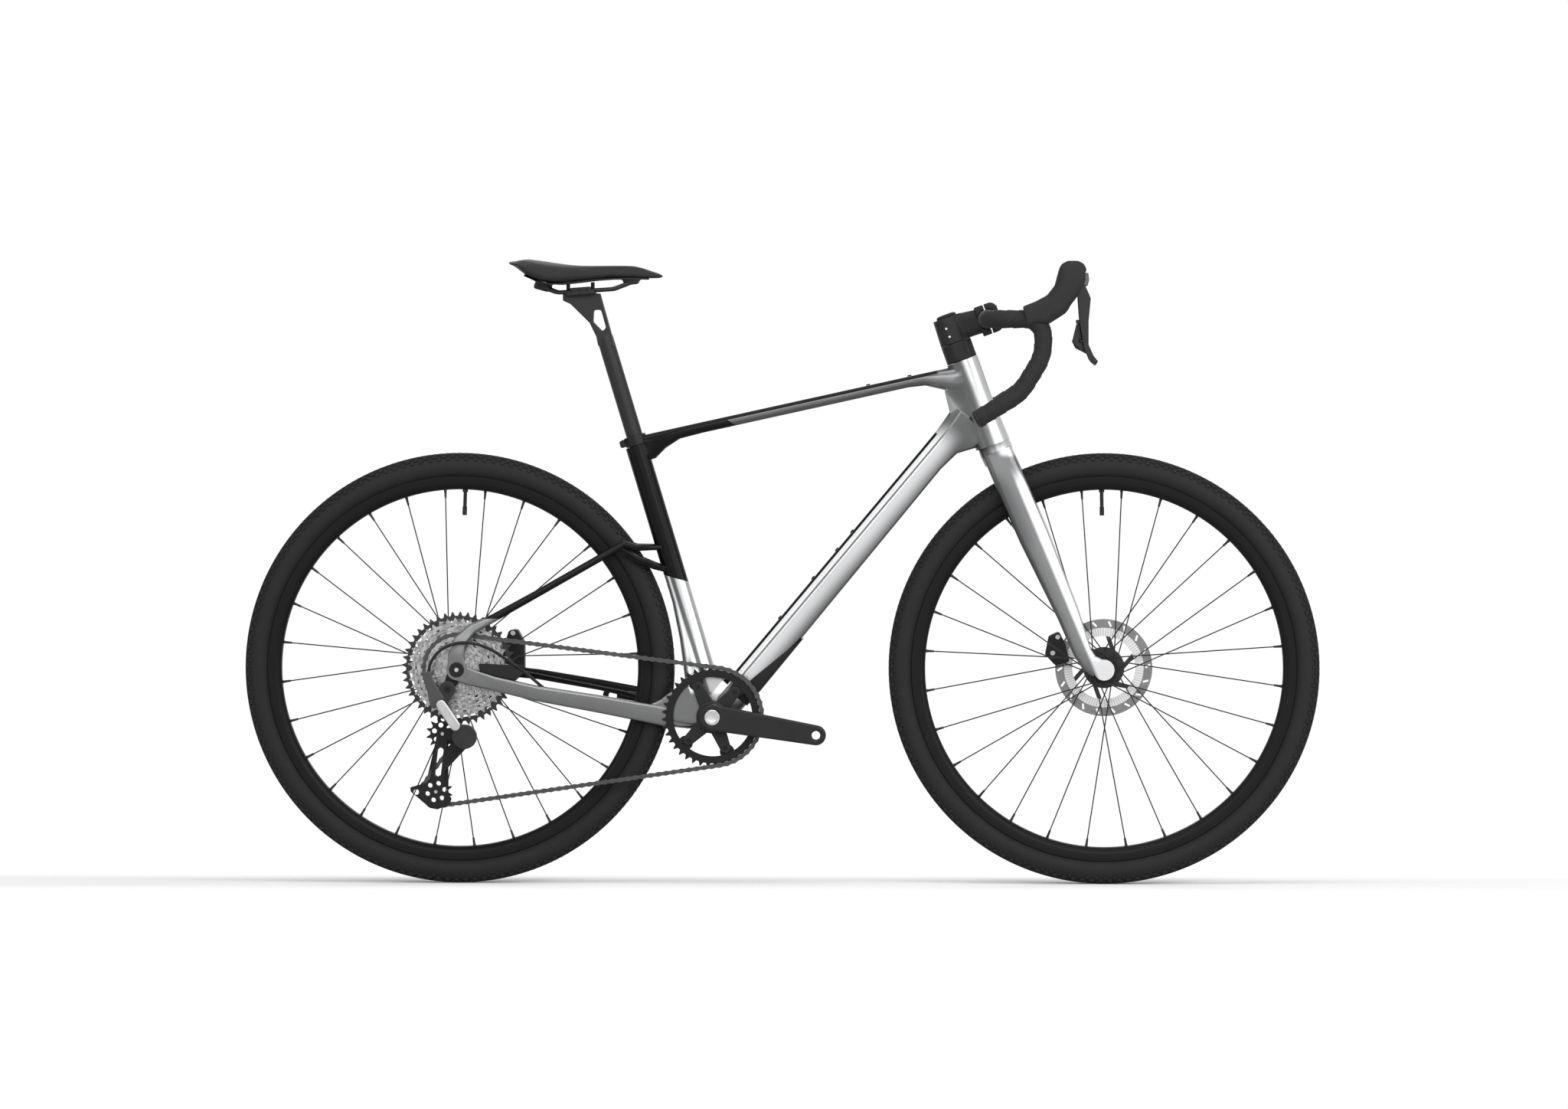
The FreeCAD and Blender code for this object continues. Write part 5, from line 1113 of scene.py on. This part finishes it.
def bolt_head():
    """Head of radius 1 that looks out along Z, with a six-sided socket."""
    shape = bmesh.new()
    sides = 12
    rings = []
    steps = ((1.0, -0.5, 0), (1.0, 0.42, 0), (0.84, 0.6, 0), (0.55, 0.6, 1), (0.52, 0.1, 1))
    for radius, height, flats in steps:
        reach = radius * math.cos(math.pi / 6) if flats else radius
        centre = Vector((0, 0, height))
        radii = [radius, reach] * (sides // 2)
        rings.append(ring_about(shape, centre, Vector((1, 0, 0)), Vector((0, 1, 0)), radii))
    closed_rings(shape, rings)
    return built("bolt_head", shape)


def bolt_tree():
    """A head on every point, as large as the point's size, looking out along the point's axis."""
    tree, given = new_tree("bolts", {"Places": "Geometry", "Head": "Object", "Material": "Material"})
    outward = named(tree, "FLOAT_VECTOR", "axis")
    facing = grow(tree, "FunctionNodeAlignRotationToVector", {"axis": "Z"}, {"Vector": outward}).outputs[0]
    size = named(tree, "FLOAT", "size")
    return ending(tree, given, "Head", {"Points": given["Places"], "Rotation": facing, "Scale": size})


def struck(piece, start, way):
    """Where a straight line from outside first meets a piece."""
    shape = bmesh.new()
    shape.from_mesh(piece.data)
    spot = BVHTree.FromBMesh(shape).ray_cast(start, way)[0]
    shape.free()
    return spot


def bolted(name, body, material, aims):
    """Bolt heads on one body, from the piece that each holds, a start point, a direction and a radius."""
    spots = [(struck(piece, Vector(start), Vector(way)), way, radius) for piece, start, way, radius in aims]
    spots = [row for row in spots if row[0]]
    dots = bpy.data.meshes.new(name)
    dots.from_pydata([spot for spot, way, radius in spots], [], [])
    outward = [-part for spot, way, radius in spots for part in way]
    dots.attributes.new("axis", "FLOAT_VECTOR", "POINT").data.foreach_set("vector", outward)
    sizes = [radius for spot, way, radius in spots]
    dots.attributes.new("size", "FLOAT", "POINT").data.foreach_set("value", sizes)
    piece = run_tree(linked(name, dots), bolts_tree, {"Head": head_shape, "Material": material})
    fixed(creased(piece, 30), material, body)


head_shape = bolt_head()
bolts_tree = bolt_tree()
bolt_steel = plain_finish("bolt_steel", 0.4, 0.28, 0.9, depth=0.00003)
across = (0.0, 1.0, 0.0)
down_tube = Vector((down_way[0], 0.0, down_way[1]))
into_down_tube = Vector((down_way[1], 0.0, -down_way[0]))
into_top_tube = Vector((top_way[1], 0.0, -top_way[0]))
down_foot = Vector((down_start[0], 0.0, down_start[1]))
bosses = []
for along in (0.189, 0.274, 0.335, 0.374):
    start = down_foot + down_tube * along - into_down_tube * 0.1
    bosses.append((frame_piece, start, into_down_tube, 0.0036))
for x, z in ((0.1425, 0.8191), (0.2104, 0.8341)):
    bosses.append((frame_piece, Vector((x, 0.0, z)) - into_top_tube * 0.05, into_top_tube, 0.0034))
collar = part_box("seat_collar")
collar_bolt = (collar[0][0] + 0.006, -0.06, (collar[0][2] + collar[1][2]) / 2 - 0.002)
frame_bolts = bosses + [
    (collar_piece, collar_bolt, across, 0.003),
    (frame_piece, (-0.545, -0.2, 0.377), across, 0.0024),
    (mech_body, (-0.5446, -0.2, 0.323), across, 0.0055),
]
bolted("frame_bolts", "frame", black_alloy, frame_bolts)
rear_caliper_bolt = (rear_axle.x + 0.085, 0.0, rear_axle.z + 0.0555)
rear_caliper_bolts = [(caliper_pieces["rear"], rear_caliper_bolt, across, 0.0042)]
bolted("rear_caliper_bolts", "frame", bolt_steel, rear_caliper_bolts)
steering_bolts = []
for x, z in ((-0.0758, 0.0508), (-0.084, 0.0245)):
    spot = (front_axle.x + x, 0.0, front_axle.z + z)
    steering_bolts.append((caliper_pieces["front"], spot, across, 0.0042))
for x, z in ((0.271, 0.912), (0.2765, 0.899)):
    steering_bolts.append((stem_pieces["stem"], (x, -0.1, z), across, 0.002))
into_stem = Vector((-0.9397, 0.0, -0.342))
up_stem = Vector((-0.342, 0.0, 0.9397))
for rise in (-0.017, 0.017):
    for side in (-0.015, 0.015):
        start = bar_centre + up_stem * rise - into_stem * 0.08 + Vector((0, side, 0))
        steering_bolts.append((stem_pieces["stem_faceplate"], start, into_stem, 0.0026))
bolted("steering_bolts", "steering", bolt_steel, steering_bolts)
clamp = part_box("saddle_clamp")
clamp_middle = (clamp[0][0] + clamp[1][0]) / 2
saddle_bolts = []
for x in (-0.018, 0.018):
    saddle_bolts.append((clamp_piece, (clamp_middle + x, 0.0, clamp[0][2] - 0.05), (0.0, 0.0, 1.0), 0.003))
bolted("saddle_bolts", "seat", black_alloy, saddle_bolts)
ring_bolts = []
for degrees in (-67.7, 48.3, -136.0, 116.6):
    spot = bracket + ray_at(degrees) * 0.055
    ring_bolts.append((right_arm, (spot.x, -0.2, spot.z), across, 0.0034))
bolted("ring_bolts", "crank", black_alloy, ring_bolts)
hinge_of = {row["name"]: row["pos_m"] for row in frame["record"]["behaviour"]["joints"] if "pos_m" in row}
pulley_bolts = []
for joint in ("guide_pulley_spin", "tension_pulley_spin"):
    x, y, z = hinge_of[joint]
    pulley_bolts.append((cage_piece, (x, -0.2, z), across, 0.003))
bolted("pulley_bolts", "cage", bolt_steel, pulley_bolts)
bpy.data.objects.remove(head_shape)

# Spindle cap: a turned aluminium disc that closes the right end of the spindle, with a raised rim.

cap_profile = [
    (-0.0700, 0.0), (-0.0700, 0.0126), (-0.0748, 0.0126), (-0.0756, 0.0118), (-0.0756, 0.0104),
    (-0.0745, 0.0098), (-0.0745, 0.0084), (-0.0750, 0.0078), (-0.0742, 0.0),
]
cap_alloy = plain_finish("cap_alloy", 0.5, 0.24, 0.95, depth=0.00003)
fixed(creased(lathe("spindle_cap", bracket, cap_profile, 40), 32), cap_alloy, "crank")
